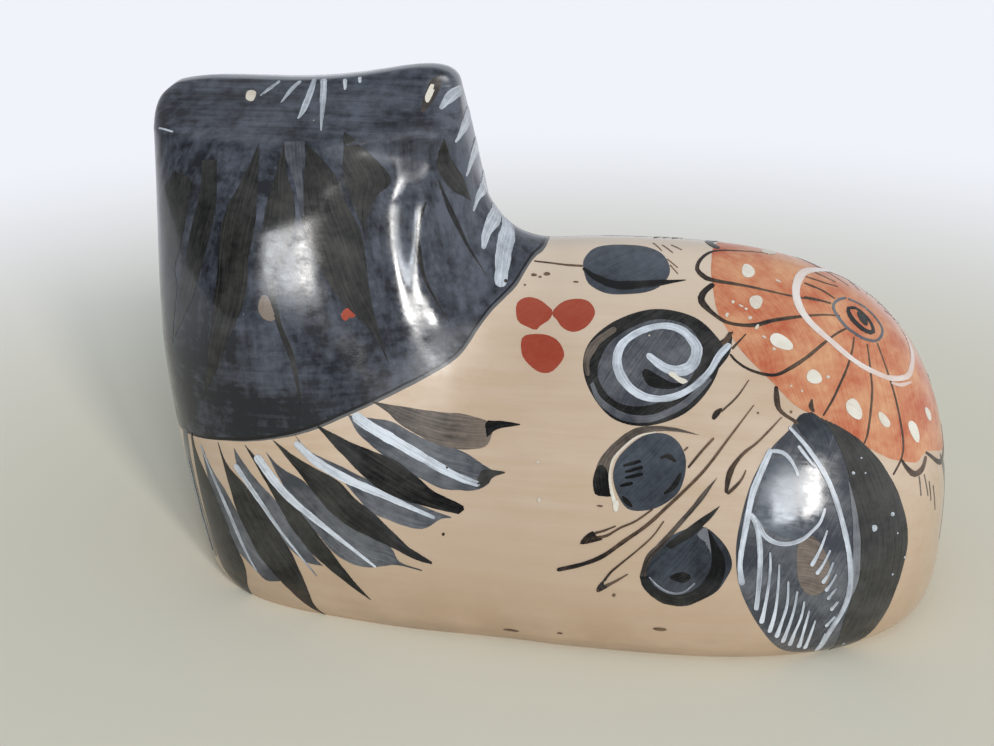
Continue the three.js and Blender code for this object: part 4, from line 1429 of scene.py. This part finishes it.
# %% Nicks and smudges on the flank
DARK_NICKS = [((534, 275), 0.9, 0.5), ((540, 277), 0.5, 0.3), ((547, 274), 1.0, 0.6),
              ((576, 282), 0.8, 0.25), ((600, 506), 0.9, 0.3), ((525, 285), 0.35, 0.3),
              ((614, 595), 0.5, 0.5), ((758, 413), 0.3, 0.3), ((791, 412), 0.4, 0.4),
              ((660, 629), 2.2, 0.5), ((511, 630), 2.4, 0.4), ((560, 633), 0.8, 0.3)]
PALE_NICKS = [((616, 506), 0.9, 1.7), ((538, 462), 0.5, 0.4), ((539, 500), 0.5, 0.7)]
paint("flank_dark_nicks", dabs(DARK_NICKS, 0.45), LINE_SLIP, 4, both=False)
paint("flank_pale_nicks", dabs(PALE_NICKS, 0.5), CREAM_SLIP, 4, both=False)

# %% [markdown]
# ## The flower on the rump
# A wide scalloped flower lies over the end of the spine. An orange wash comes first, then brown
# outlines, a white ring, white dots and a dark spiral in the middle. The photograph shows the
# near half. The far half is its mirror picture across a plane near the spine, so that the flower
# is whole when it is seen from above or behind.

# %% Orange wash
FLOWER_PLANE = 4.7
WASH_EDGE = [(712, 257), (711, 270), (712, 280), (717, 310), (730, 334), (746, 356), (773, 383), (796, 406),
             (823, 419), (856, 441), (886, 457), (902, 461), (917, 462), (926, 452)]
WASH_RUMP = [(-64.0, 10.0, 27.0), (-64.8, FLOWER_PLANE, 26.5)]
WASH_HUB = np.array([-25.0, FLOWER_PLANE, 10.0])


def whole_flower(marks):
    """Marks of the near half and their mirror pictures across the flower's own plane."""
    return marks + [mirrored(mark, FLOWER_PLANE) for mark in marks]


def flower_wash():
    """The near edge as read, two places low on the rump, and their mirror pictures as one ring.
    Its grid is thrown out to the skin on rays from a hub deep in the rump, so that the cells stay
    even where the back turns over the spine."""
    near = np.concatenate([seen(WASH_EDGE), WASH_RUMP])
    far = near[-2::-1] * [1, -1, 1] + [0, 2 * FLOWER_PLANE, 0]
    grid, tone = patch(np.concatenate([near, far]), 0.5)
    ways = grid.reshape(-1, 3) - WASH_HUB
    ways /= np.linalg.norm(ways, axis=1, keepdims=True)
    reach = first_inside(lambda r: skin_field(WASH_HUB + r[..., None] * ways), far=75, near=5, strides=141)
    return (WASH_HUB + reach[:, None] * ways).reshape(grid.shape), tone


paint("flower_wash", [flower_wash()], ORANGE_SLIP, both=False)

# %% Flower outlines
TOP_LOBE = [(765, 253), (740, 251), (715, 251), (702, 258), (697, 268), (702, 275), (712, 280), (746, 286),
            (791, 296), (831, 303)]
RUMP_LOBE = [(-60.0, 15.7, 28.9), (-62.5, 12.0, 25.5), (-64.5, 7.4, 26.3), (-64.5, FLOWER_PLANE, 29.0)]
FLOWER_LOBES = [
    ([(714, 284), (705, 291), (701, 299), (705, 306), (715, 315), (726, 322), (740, 325), (756, 325),
      (776, 320), (819, 315), (840, 316)], [0.8, 1.1, 0.65, 0.5, 0.7, 0.65, 0.5, 0.32, 0.28]),
    ([(730, 354), (736, 361), (748, 369), (763, 374), (776, 375), (789, 369), (806, 358), (823, 344),
      (836, 334), (847, 328)], [0.32, 0.42, 0.5, 0.6, 0.55, 0.4, 0.3]),
    ([(776, 386), (777, 401), (779, 409), (785, 415), (793, 420), (798, 424)], [0.5, 0.9, 0.7, 0.5, 0.5]),
    ([(901, 459), (906, 467), (914, 474), (922, 469), (926, 456)], [0.4, 0.9, 1.0, 0.6]),
    ([(731, 332), (726, 341), (722, 345)], [0.5, 0.9, 0.8]),
    ([(746, 334), (732, 349)], [0.2, 0.4]),
    ([(812, 399), (811, 407), (814, 412)], [0.2, 0.8, 0.5]),
]
FLOWER_RAYS = [
    [(823, 416), (833, 399), (840, 384), (847, 368), (852, 351), (854, 337)],
    [(864, 444), (868, 431), (872, 394), (871, 376), (867, 344)],
    [(893, 475), (901, 459), (903, 442), (896, 401), (886, 368), (877, 343)],
    [(804, 283), (823, 291), (835, 299)],
    [(804, 297), (819, 300), (831, 304)],
]
flower_lines = [line(pixels, widths, [1.0, 0.85, 0.7, 0.55]) for pixels, widths in FLOWER_LOBES]
flower_lines += [line(pixels, [0.28, 0.38, 0.32, 0.25], [0.8, 0.65, 0.5]) for pixels in FLOWER_RAYS]
flower_lines.append(stroke(RUMP_LOBE, [0.4, 0.9, 0.7, 0.4], 0.9))
top_lobe = line(TOP_LOBE, [0.25, 0.3, 0.45, 0.8, 0.5, 0.35, 0.3, 0.25], [0.5, 0.9, 0.6, 0.5])
paint("flower_outlines", whole_flower(flower_lines) + [top_lobe], LINE_SLIP, 2, both=False)

# %% Flower heart
HEART_RIM = [(846, 298), (838, 300), (833, 306), (836, 314), (845, 326), (854, 333), (862, 338), (872, 341),
             (878, 340), (882, 334), (881, 326), (872, 314), (861, 305), (848, 299)]
HEART_RING = [(849, 307), (848, 311), (852, 319), (861, 328), (868, 332), (873, 332), (872, 326), (868, 319),
              (861, 312), (855, 308), (850, 308)]
HEART_SEED = [(857, 312), (861, 312), (867, 320), (867, 326), (862, 323), (858, 317)]
paint("flower_heart_rim", [line(HEART_RIM, [0.4, 0.5, 0.45, 0.4, 0.4], 0.45)], GREY_SLIP, 3,
      both=False)
heart = [line(HEART_RING, [0.5, 0.9, 0.8, 0.6, 0.5, 0.5], [0.8, 0.6, 0.7]), blot(HEART_SEED, 0.5)]
paint("flower_heart", heart, BLACK_SLIP, 3, both=False)

# %% White ring and dots of the flower
FLOWER_RING = [(828, 271), (814, 270), (803, 273), (797, 283), (796, 295), (800, 308), (808, 320),
               (819, 331), (833, 343), (848, 356), (862, 366), (876, 373), (889, 378), (902, 378),
               (910, 372)]
FAR_RING = [(-57.8, 3.5, 41.5), (-56.4, -0.5, 43.5), (-53.0, -3.6, 46.5), (-48.5, -4.5, 49.5)]
FLOWER_RING_END = [(891, 383), (901, 385), (911, 382)]
FLOWER_DOTS = [
    ((748, 271), 2.0, 2.6, 20, 0.9), ((756, 302), 2.2, 2.2, 0, 0.4), ((781, 342), 3.6, 2.4, -35, 0.9),
    ((814, 377), 2.2, 2.4, 0, 0.95), ((854, 409), 2.2, 3.6, 10, 0.75), ((884, 420), 1.5, 2.6, 20, 0.7),
    ((914, 431), 2.0, 3.4, 10, 0.8), ((928, 414), 1.4, 2.4, 0, 0.6),
]
near_ring = seen(FLOWER_RING)
whole_ring = np.concatenate([near_ring, FAR_RING, near_ring[:1]])
flower_white = [stroke(whole_ring, [1.0, 1.35, 1.2, 0.9, 0.8, 0.85, 1.0, 1.0, 1.0, 1.0, 1.0],
                       [0.8, 0.9, 0.6, 0.6, 0.5]),
                line(FLOWER_RING_END, [0.3, 0.6, 0.3], 0.5)]
flower_dots = [spot(seen([pixel])[0], *form) for pixel, *form in FLOWER_DOTS]
paint("flower_ring", flower_white, RING_SLIP, 3, both=False)
paint("flower_dots", whole_flower(flower_dots[1:]) + flower_dots[:1], CREAM_SLIP, 3, both=False)
FLOWER_CHIPS = [((733, 302), 0.5, 0.5), ((741, 306), 0.8, 0.3), ((746, 309), 0.5, 0.4),
                ((727, 315), 0.5, 0.8), ((757, 327), 0.5, 0.9), ((764, 337), 0.8, 0.3),
                ((774, 349), 0.5, 0.4), ((828, 377), 0.6, 0.5), ((791, 386), 0.3, 0.3),
                ((802, 391), 0.4, 0.3), ((778, 281), 0.9, 0.3), ((750, 318), 0.6, 0.6)]
paint("flower_chips", dabs(FLOWER_CHIPS, 0.4, -30), CREAM_SLIP, 3, both=False)

# %% [markdown]
# ## The egg shape on the haunch
# The haunch carries a large egg shape, black at the back and slate at the front. White lines
# run round an inner eye and close in fine hatching below, like the folded wing of a bird.

# %% Slate and black ground
HAUNCH_EGG = [(804, 413), (789, 430), (769, 451), (752, 481), (741, 518), (736, 552), (740, 588), (757, 623),
              (779, 648), (804, 652), (838, 651), (870, 632), (892, 598), (907, 544), (902, 505), (885, 469),
              (862, 442), (831, 422)]
HAUNCH_BLACK = ([(815, 416), (831, 430), (847, 468), (852, 495), (857, 518), (860, 547), (856, 583),
                 (843, 623), (828, 651)],
                [(815, 416), (845, 430), (868, 448), (887, 472), (902, 505), (907, 544), (892, 598),
                 (870, 632), (832, 652)])
HAUNCH_TOP = ([(803, 414), (796, 422), (802, 434), (820, 452)],
              [(812, 412), (822, 420), (832, 432), (824, 454)])
HAUNCH_TAUPE = [(798, 544), (811, 535), (825, 552), (830, 576), (821, 593), (808, 594), (798, 579)]
HAUNCH_PALE = ([(848, 482), (851, 505), (853, 540), (851, 575), (843, 607)],
               [(849, 482), (857, 515), (860, 547), (857, 583), (844, 607)])
HAUNCH_EYE = [(772, 460), (790, 462), (812, 480), (824, 508), (806, 533), (786, 538), (766, 528), (757, 505)]
paint("haunch_egg", [blot(HAUNCH_EGG, 0.8)], GREY_SLIP)
paint("haunch_taupe", [blot(HAUNCH_TAUPE, 0.3)], BROWN_SLIP, 2)
paint("haunch_black", [leaf(HAUNCH_BLACK, [0.2, 0.3, 0.4, 0.3])], BLACK_SLIP, 3)
haunch_dark = [leaf(HAUNCH_TOP, [1.0, 0.8, 0.4]), blot(HAUNCH_EYE, 0.3)]
paint("haunch_dark", haunch_dark, SLATE_SLIP, 2)
paint("haunch_pale_edge", [leaf(HAUNCH_PALE, 0.1)], GREY_SLIP, 4)

# %% White lines of the egg
HAUNCH_LINES = [
    ([(771, 449), (759, 476), (752, 495), (746, 525), (740, 562), (742, 585)],
     [0.8, 1.0, 0.9, 0.9, 0.7, 0.9]),
    ([(771, 451), (781, 452), (789, 458), (795, 468), (798, 476)], [0.6, 0.6, 0.5, 0.4]),
    ([(750, 513), (759, 525), (764, 535), (774, 542), (787, 544), (801, 540), (811, 532), (820, 522),
      (825, 508)], [0.6, 0.7, 0.6, 0.5, 0.4]),
    ([(752, 515), (757, 527), (760, 552), (759, 579), (756, 610)], [0.8, 0.8, 0.8, 0.7, 0.7]),
    ([(789, 427), (808, 449), (828, 481), (842, 522), (850, 566), (847, 599), (830, 630), (815, 650)],
     [0.5, 0.7, 0.8, 0.8, 0.9, 0.8, 0.8]),
    ([(798, 446), (804, 454), (815, 468)], [0.5, 0.5, 0.3]),
]
HAUNCH_HATCHES = [
    [(770, 552), (770, 569), (767, 594), (761, 623)], [(779, 564), (778, 586), (775, 611), (769, 632)],
    [(788, 581), (787, 603), (781, 623), (776, 637)], [(797, 591), (794, 608), (787, 630), (782, 642)],
    [(804, 601), (801, 616), (794, 633), (789, 645)], [(809, 610), (804, 628), (798, 647)],
    [(815, 620), (809, 637), (804, 648)], [(825, 633), (816, 649)],
    [(827, 530), (820, 549), (811, 566)], [(830, 550), (823, 564), (816, 574)],
    [(833, 562), (828, 574), (822, 583)], [(836, 574), (831, 583), (825, 591)], [(836, 588), (827, 599)],
    [(838, 601), (830, 610)], [(835, 616), (825, 626)],
]
HAUNCH_SPECKS = [((874, 528), 1.0), ((892, 514), 0.7), ((853, 473), 0.5), ((897, 533), 0.3),
                 ((892, 574), 0.35), ((865, 473), 0.3), ((861, 458), 0.3), ((904, 557), 0.4),
                 ((843, 643), 0.5)]
haunch_white = [line(pixels, widths, 0.6) for pixels, widths in HAUNCH_LINES]
haunch_white += [line(pixels, [0.3, 0.4, 0.45, 0.75], [0.4, 0.5, 0.7, 1.1]) for pixels in HAUNCH_HATCHES]
haunch_white += [spot(seen([place])[0], size, size, tone=0.5, corners=6) for place, size in HAUNCH_SPECKS]
paint("haunch_white_lines", haunch_white, WHITE_SLIP, 5)

# %% Marks behind the haunch
RUMP_PETAL = [(940, 454), (945, 485), (944, 518), (939, 539)]
RUMP_HATCHES = [[(919, 476), (921, 496)], [(924, 474), (928, 496)], [(929, 481), (931, 501)],
                [(933, 485), (935, 510)]]
paint("rump_petal", [line(RUMP_PETAL, [0.6, 2.2, 2.4, 0.5], 0.5)], GREY_SLIP)
paint("rump_hatches", [line(pixels, [0.3, 0.3], 0.5) for pixels in RUMP_HATCHES], BROWN_SLIP)

# %% [markdown]
# ## The breast and the face
# The photograph doesn't show these sides. Cats of this kind carry a plainly painted face on the
# pressed muzzle, so this one has almond eyes, a small nose, a mouth line, whiskers and the white
# strokes that run up to the crown. The marks are given in millimetres: the distance from the
# middle of the face and the height above the ground.

# %% Places on the face
def on_face(places):
    """Points on the face side, found by halving between the parting plane and a plane in front."""
    across, z = np.asarray(places, float).T

    def place_at(y):
        """The places moved to a distance from the parting plane."""
        return np.stack([FACE["middle"] + across, y, z], axis=-1)

    return place_at(halved(lambda y: skin_field(place_at(y)) < 0, np.full(len(z), -BEYOND), np.zeros(len(z))))


def on_both(places):
    """The places and their mirror picture across the middle of the face."""
    places = np.asarray(places, float)
    return [on_face(places), on_face(places * [-1, 1])]


print("tip of the muzzle:", np.round(on_face([(0.0, 51.0)])[0], 1))

# %% Eyes, nose and mouth
EYE_RIM = [(4.6, 59.6), (6.6, 62.6), (10.6, 65.4), (15.0, 65.6), (19.2, 63.6), (16.4, 60.4), (11.6, 58.4),
           (7.6, 58.2)]
EYE_WHITE = [(6.2, 60.0), (8.2, 62.6), (11.4, 64.3), (14.8, 64.4), (17.4, 63.2), (14.6, 60.9), (11.0, 59.6),
             (8.0, 59.2)]
EYE_IRIS, EYE_PUPIL = (11.8, 62.0), (11.6, 62.0)
NOSE = [(0.0, 50.6), (-2.2, 52.8), (-1.6, 54.4), (1.6, 54.4), (2.2, 52.8)]
MOUTH = [(0.0, 50.4), (0.1, 48.6), (2.0, 46.9), (5.0, 46.8), (7.4, 48.4)]
paint("eye_rims", [patch(ring, 0.9) for ring in on_both(EYE_RIM)], BLACK_SLIP, both=False)
paint("eye_whites", [patch(ring, 0.9) for ring in on_both(EYE_WHITE)], WHITE_SLIP, 2, both=False)
irises = [spot(ring[0], 4.6, 4.8, tone=0.6) for ring in on_both([EYE_IRIS])]
paint("eye_irises", irises, ORANGE_SLIP, 3, both=False)
pupils = [spot(ring[0], 1.7, 4.0, tone=1.0) for ring in on_both([EYE_PUPIL])]
paint("eye_pupils", pupils, BLACK_SLIP, 4, both=False)
paint("nose", [patch(on_face(NOSE), 0.8)], RED_SLIP, 2, both=False)

# %% White strokes of the face
BROW_FAN = [
    ([(0.0, 62.0), (0.0, 68.0), (0.0, 75.0)], [0.8, 2.0, 0.6]),
    ([(2.4, 63.0), (4.2, 69.0), (5.2, 75.0)], [0.8, 1.9, 0.6]),
    ([(5.6, 67.0), (8.4, 71.0), (10.2, 75.4)], [0.6, 1.7, 0.6]),
    ([(10.6, 68.0), (13.6, 71.4), (15.4, 75.0)], [0.6, 1.5, 0.6]),
]
CHEEK_STROKES = [
    ([(19.0, 59.0), (22.4, 60.0), (25.4, 62.4)], [0.6, 1.8, 0.8]),
    ([(19.6, 54.6), (23.0, 55.0), (26.0, 57.0)], [0.6, 1.8, 0.8]),
    ([(19.2, 50.2), (22.4, 49.6), (25.4, 50.6)], [0.6, 1.8, 0.8]),
    ([(17.4, 45.8), (20.2, 44.6), (23.2, 44.8)], [0.6, 1.6, 0.8]),
]
WHISKERS = [
    [(6.2, 52.4), (11.0, 53.8), (17.0, 54.6)], [(6.6, 50.8), (11.6, 51.0), (17.6, 50.6)],
    [(6.2, 49.2), (10.8, 48.2), (16.4, 46.8)],
]
CHIN = [(-3.0, 44.6), (0.0, 43.6), (3.0, 44.6)]


def face_strokes(list_of_strokes, tone):
    """Strokes on both halves of the face."""
    return [stroke(place, widths, tone) for places, widths in list_of_strokes for place in on_both(places)]


face_white = face_strokes(BROW_FAN[1:] + CHEEK_STROKES, 0.5)
face_white += face_strokes([(places, [0.4, 0.35, 0.15]) for places in WHISKERS], 0.6)
face_white += face_strokes([(MOUTH, [0.5, 0.7, 0.7, 0.5])], 0.7)
face_white.append(stroke(on_face(BROW_FAN[0][0]), BROW_FAN[0][1], 0.5))
face_white.append(stroke(on_face(CHIN), [0.4, 1.2, 0.4], 0.6))
paint("face_white_strokes", face_white, WHITE_SLIP, 2, both=False)

# %% Ears and whisker roots
EAR_INNER = [(17.6, 73.2), (19.4, 76.6), (22.2, 78.2), (24.0, 76.0), (22.8, 72.2)]
WHISKER_ROOTS = [(3.8, 51.8), (4.4, 50.0), (3.6, 48.6), (5.4, 51.0)]
paint("ear_inners", [patch(ring, 0.6) for ring in on_both(EAR_INNER)], ORANGE_SLIP, 2,
      both=False)
root_places = np.concatenate(on_both(WHISKER_ROOTS))
whisker_roots = [spot(place, 0.8, 0.8, tone=1.0, corners=8) for place in root_places]
paint("whisker_roots", whisker_roots, BLACK_SLIP, 3, both=False)

# %% Leaves over the breast
BREAST_TOP, BREAST_OUT = 27.5, 64.0
BREAST_LEAVES = {"black": [(-10.0, 2.0, 5.0), (0.0, 2.2, 4.0), (10.0, 2.0, 5.0)],
                 "grey": [(-15.0, 1.8, 9.0), (-5.0, 1.8, 8.0), (5.0, 1.8, 8.0), (15.0, 1.8, 9.0)]}


def breast_line(middle, low, aside=0.0, count=7):
    """Points straight down the breast, moved aside in the middle by half a sine wave."""
    drop = np.linspace(BREAST_TOP, low, count)
    shift = middle + aside * np.sin(np.linspace(0, np.pi, count)) ** 0.8
    return on_clay(np.stack([np.full(count, BREAST_OUT), shift, drop], axis=-1))[0]


for shade_name, slip in (("black", BLACK_SLIP), ("grey", GREY_SLIP)):
    marks = [band(breast_line(middle, low, -half), breast_line(middle, low, half), 0.7)
             for middle, half, low in BREAST_LEAVES[shade_name]]
    paint("breast_" + shade_name + "_leaves", marks, slip, both=False)
marks = [stroke(breast_line(middle, low + 2), [0.3, 0.9, 0.8, 0.3], 0.6)
         for middle, half, low in BREAST_LEAVES["grey"]]
paint("breast_white_lines", marks, WHITE_SLIP, 2, both=False)

# %% [markdown]
# ## Table and window
# The figure stands on a plain pale table. Two upright panes of a window behind the camera's right
# give the main light, and they are what the polished clay mirrors. The rest of the room is a soft
# pale sky. The camera and reflections see a white room, while the clay is lit by a weaker one.

# %% Table
TABLE_REACH, TABLE_RINGS, TABLE_SIDES = 3.0, 24, 96
TABLE_COLOUR = (0.82, 0.775, 0.645, 1)
ROOM_WHITE = (0.871, 0.896, 0.956, 1)
FADE_FROM, FADE_TO = 0.085, 0.34


def table_sheet():
    """A round sheet on the ground, with rings that stand closer together near the figure."""
    radius = TABLE_REACH * np.linspace(0, 1, TABLE_RINGS + 1) ** 2
    angle = np.linspace(0, 2 * np.pi, TABLE_SIDES, endpoint=False)
    ring = np.stack([np.cos(angle), np.sin(angle), np.zeros_like(angle)], axis=-1)
    points = (radius[:, None, None] * ring[None]).reshape(-1, 3) / MM
    faces = grid_faces(TABLE_RINGS + 1, TABLE_SIDES, closed=True)
    faces = np.where(faces < TABLE_SIDES, 0, faces)
    return new_piece("table", points, faces[:, ::-1])


def looked_at(tree):
    """1 for rays of the camera and of mirrored light, and beside it 1 for the camera's alone."""
    path = put(tree, "ShaderNodeLightPath").outputs
    mirrored_ray = calc(tree, "MAXIMUM", path["Is Glossy Ray"], path["Is Transmission Ray"])
    return calc(tree, "MAXIMUM", path["Is Camera Ray"], mirrored_ray), path["Is Camera Ray"]


def table_material():
    """Matt pale sheet that glows white for the camera far from the figure, so it has no edge."""
    material, tree, place = new_material("table_sheet")
    parts = put(tree, "ShaderNodeSeparateXYZ", {0: place}).outputs
    reach = calc(tree, "SQRT", calc(tree, "ADD", calc(tree, "MULTIPLY", parts[0], parts[0]),
                                    calc(tree, "MULTIPLY", parts[1], parts[1])))
    fade = put(tree, "ShaderNodeMapRange", {"Value": reach, "From Min": FADE_FROM, "From Max": FADE_TO},
               interpolation_type="SMOOTHSTEP").outputs[0]
    matt = put(tree, "ShaderNodeBsdfDiffuse", {"Color": TABLE_COLOUR})
    glow = put(tree, "ShaderNodeEmission", {"Color": ROOM_WHITE, "Strength": 1.0})
    both = put(tree, "ShaderNodeMixShader",
               {0: calc(tree, "MULTIPLY", fade, looked_at(tree)[0]), 1: matt.outputs[0], 2: glow.outputs[0]})
    put(tree, "ShaderNodeOutputMaterial", {"Surface": both.outputs[0]})
    return material


table = table_sheet()
table.data.materials.append(table_material())
print("table faces:", len(table.data.polygons))

# %% Room light
FILL_COLOUR, FILL_STRENGTH = (0.86, 0.93, 1.0, 1), 0.5
DIM_WAY, DIM_SIDE = (0.6, 0.8, 0.0), 0.18


def build_room():
    """World that is seen white and lights softly. Mirrored in the clay, it is white behind the
    table and dimmer towards the camera's left, as a room is."""
    world = bpy.data.worlds.new("room")
    bpy.context.scene.world = world
    world.use_nodes = True
    tree = world.node_tree
    tree.nodes.clear()
    looked, by_camera = looked_at(tree)
    way = put(tree, "ShaderNodeTexCoord").outputs["Generated"]
    turned = put(tree, "ShaderNodeVectorMath", {0: way, 1: DIM_WAY}, operation="DOT_PRODUCT")
    dimmed = scaled(tree, turned.outputs["Value"], -0.3, 0.7, 1.0, DIM_SIDE)
    mirrored_light = calc(tree, "MAXIMUM", dimmed, by_camera)
    fill = put(tree, "ShaderNodeBackground", {"Color": FILL_COLOUR, "Strength": FILL_STRENGTH})
    white = put(tree, "ShaderNodeBackground", {"Color": ROOM_WHITE, "Strength": mirrored_light})
    both = put(tree, "ShaderNodeMixShader", {0: looked, 1: fill.outputs[0], 2: white.outputs[0]})
    put(tree, "ShaderNodeOutputWorld", {"Surface": both.outputs[0]})


build_room()
print("room fill:", FILL_STRENGTH)

# %% Window panes
WINDOW_WAY = np.array([-0.462, 0.764, 0.45])
WINDOW_REACH, PANE_WIDTH, PANE_HEIGHT, PANE_OFFSET = 3.0, 0.30, 0.72, 0.205
AIM_HEIGHT = 0.04
LEFT_WATTS, RIGHT_WATTS = 18.0, 33.0
LEFT_COLOUR, RIGHT_COLOUR = (0.90, 0.95, 1.0), (1.0, 0.98, 0.95)


def window_pane(name, side, watts, colour):
    """An upright area light that faces the figure, set to one side of the window's bar."""
    way = WINDOW_WAY / np.linalg.norm(WINDOW_WAY)
    beside = np.cross([0.0, 0.0, 1.0], way)
    beside /= np.linalg.norm(beside)
    data = bpy.data.lights.new(name, "AREA")
    data.shape, data.size, data.size_y = "RECTANGLE", PANE_WIDTH, PANE_HEIGHT
    data.energy, data.color = watts, colour
    pane = bpy.data.objects.new(name, data)
    turn = np.eye(4)
    turn[:3, 0], turn[:3, 1], turn[:3, 2] = beside, np.cross(way, beside), way
    turn[:3, 3] = way * WINDOW_REACH + beside * PANE_OFFSET * side + [0, 0, AIM_HEIGHT]
    pane.matrix_world = Matrix(turn.tolist())
    bpy.context.scene.collection.objects.link(pane)


window_pane("left_pane", -1, LEFT_WATTS, LEFT_COLOUR)
window_pane("right_pane", 1, RIGHT_WATTS, RIGHT_COLOUR)
bpy.context.scene.view_settings.view_transform = "Standard"
print("window watts:", LEFT_WATTS + RIGHT_WATTS)
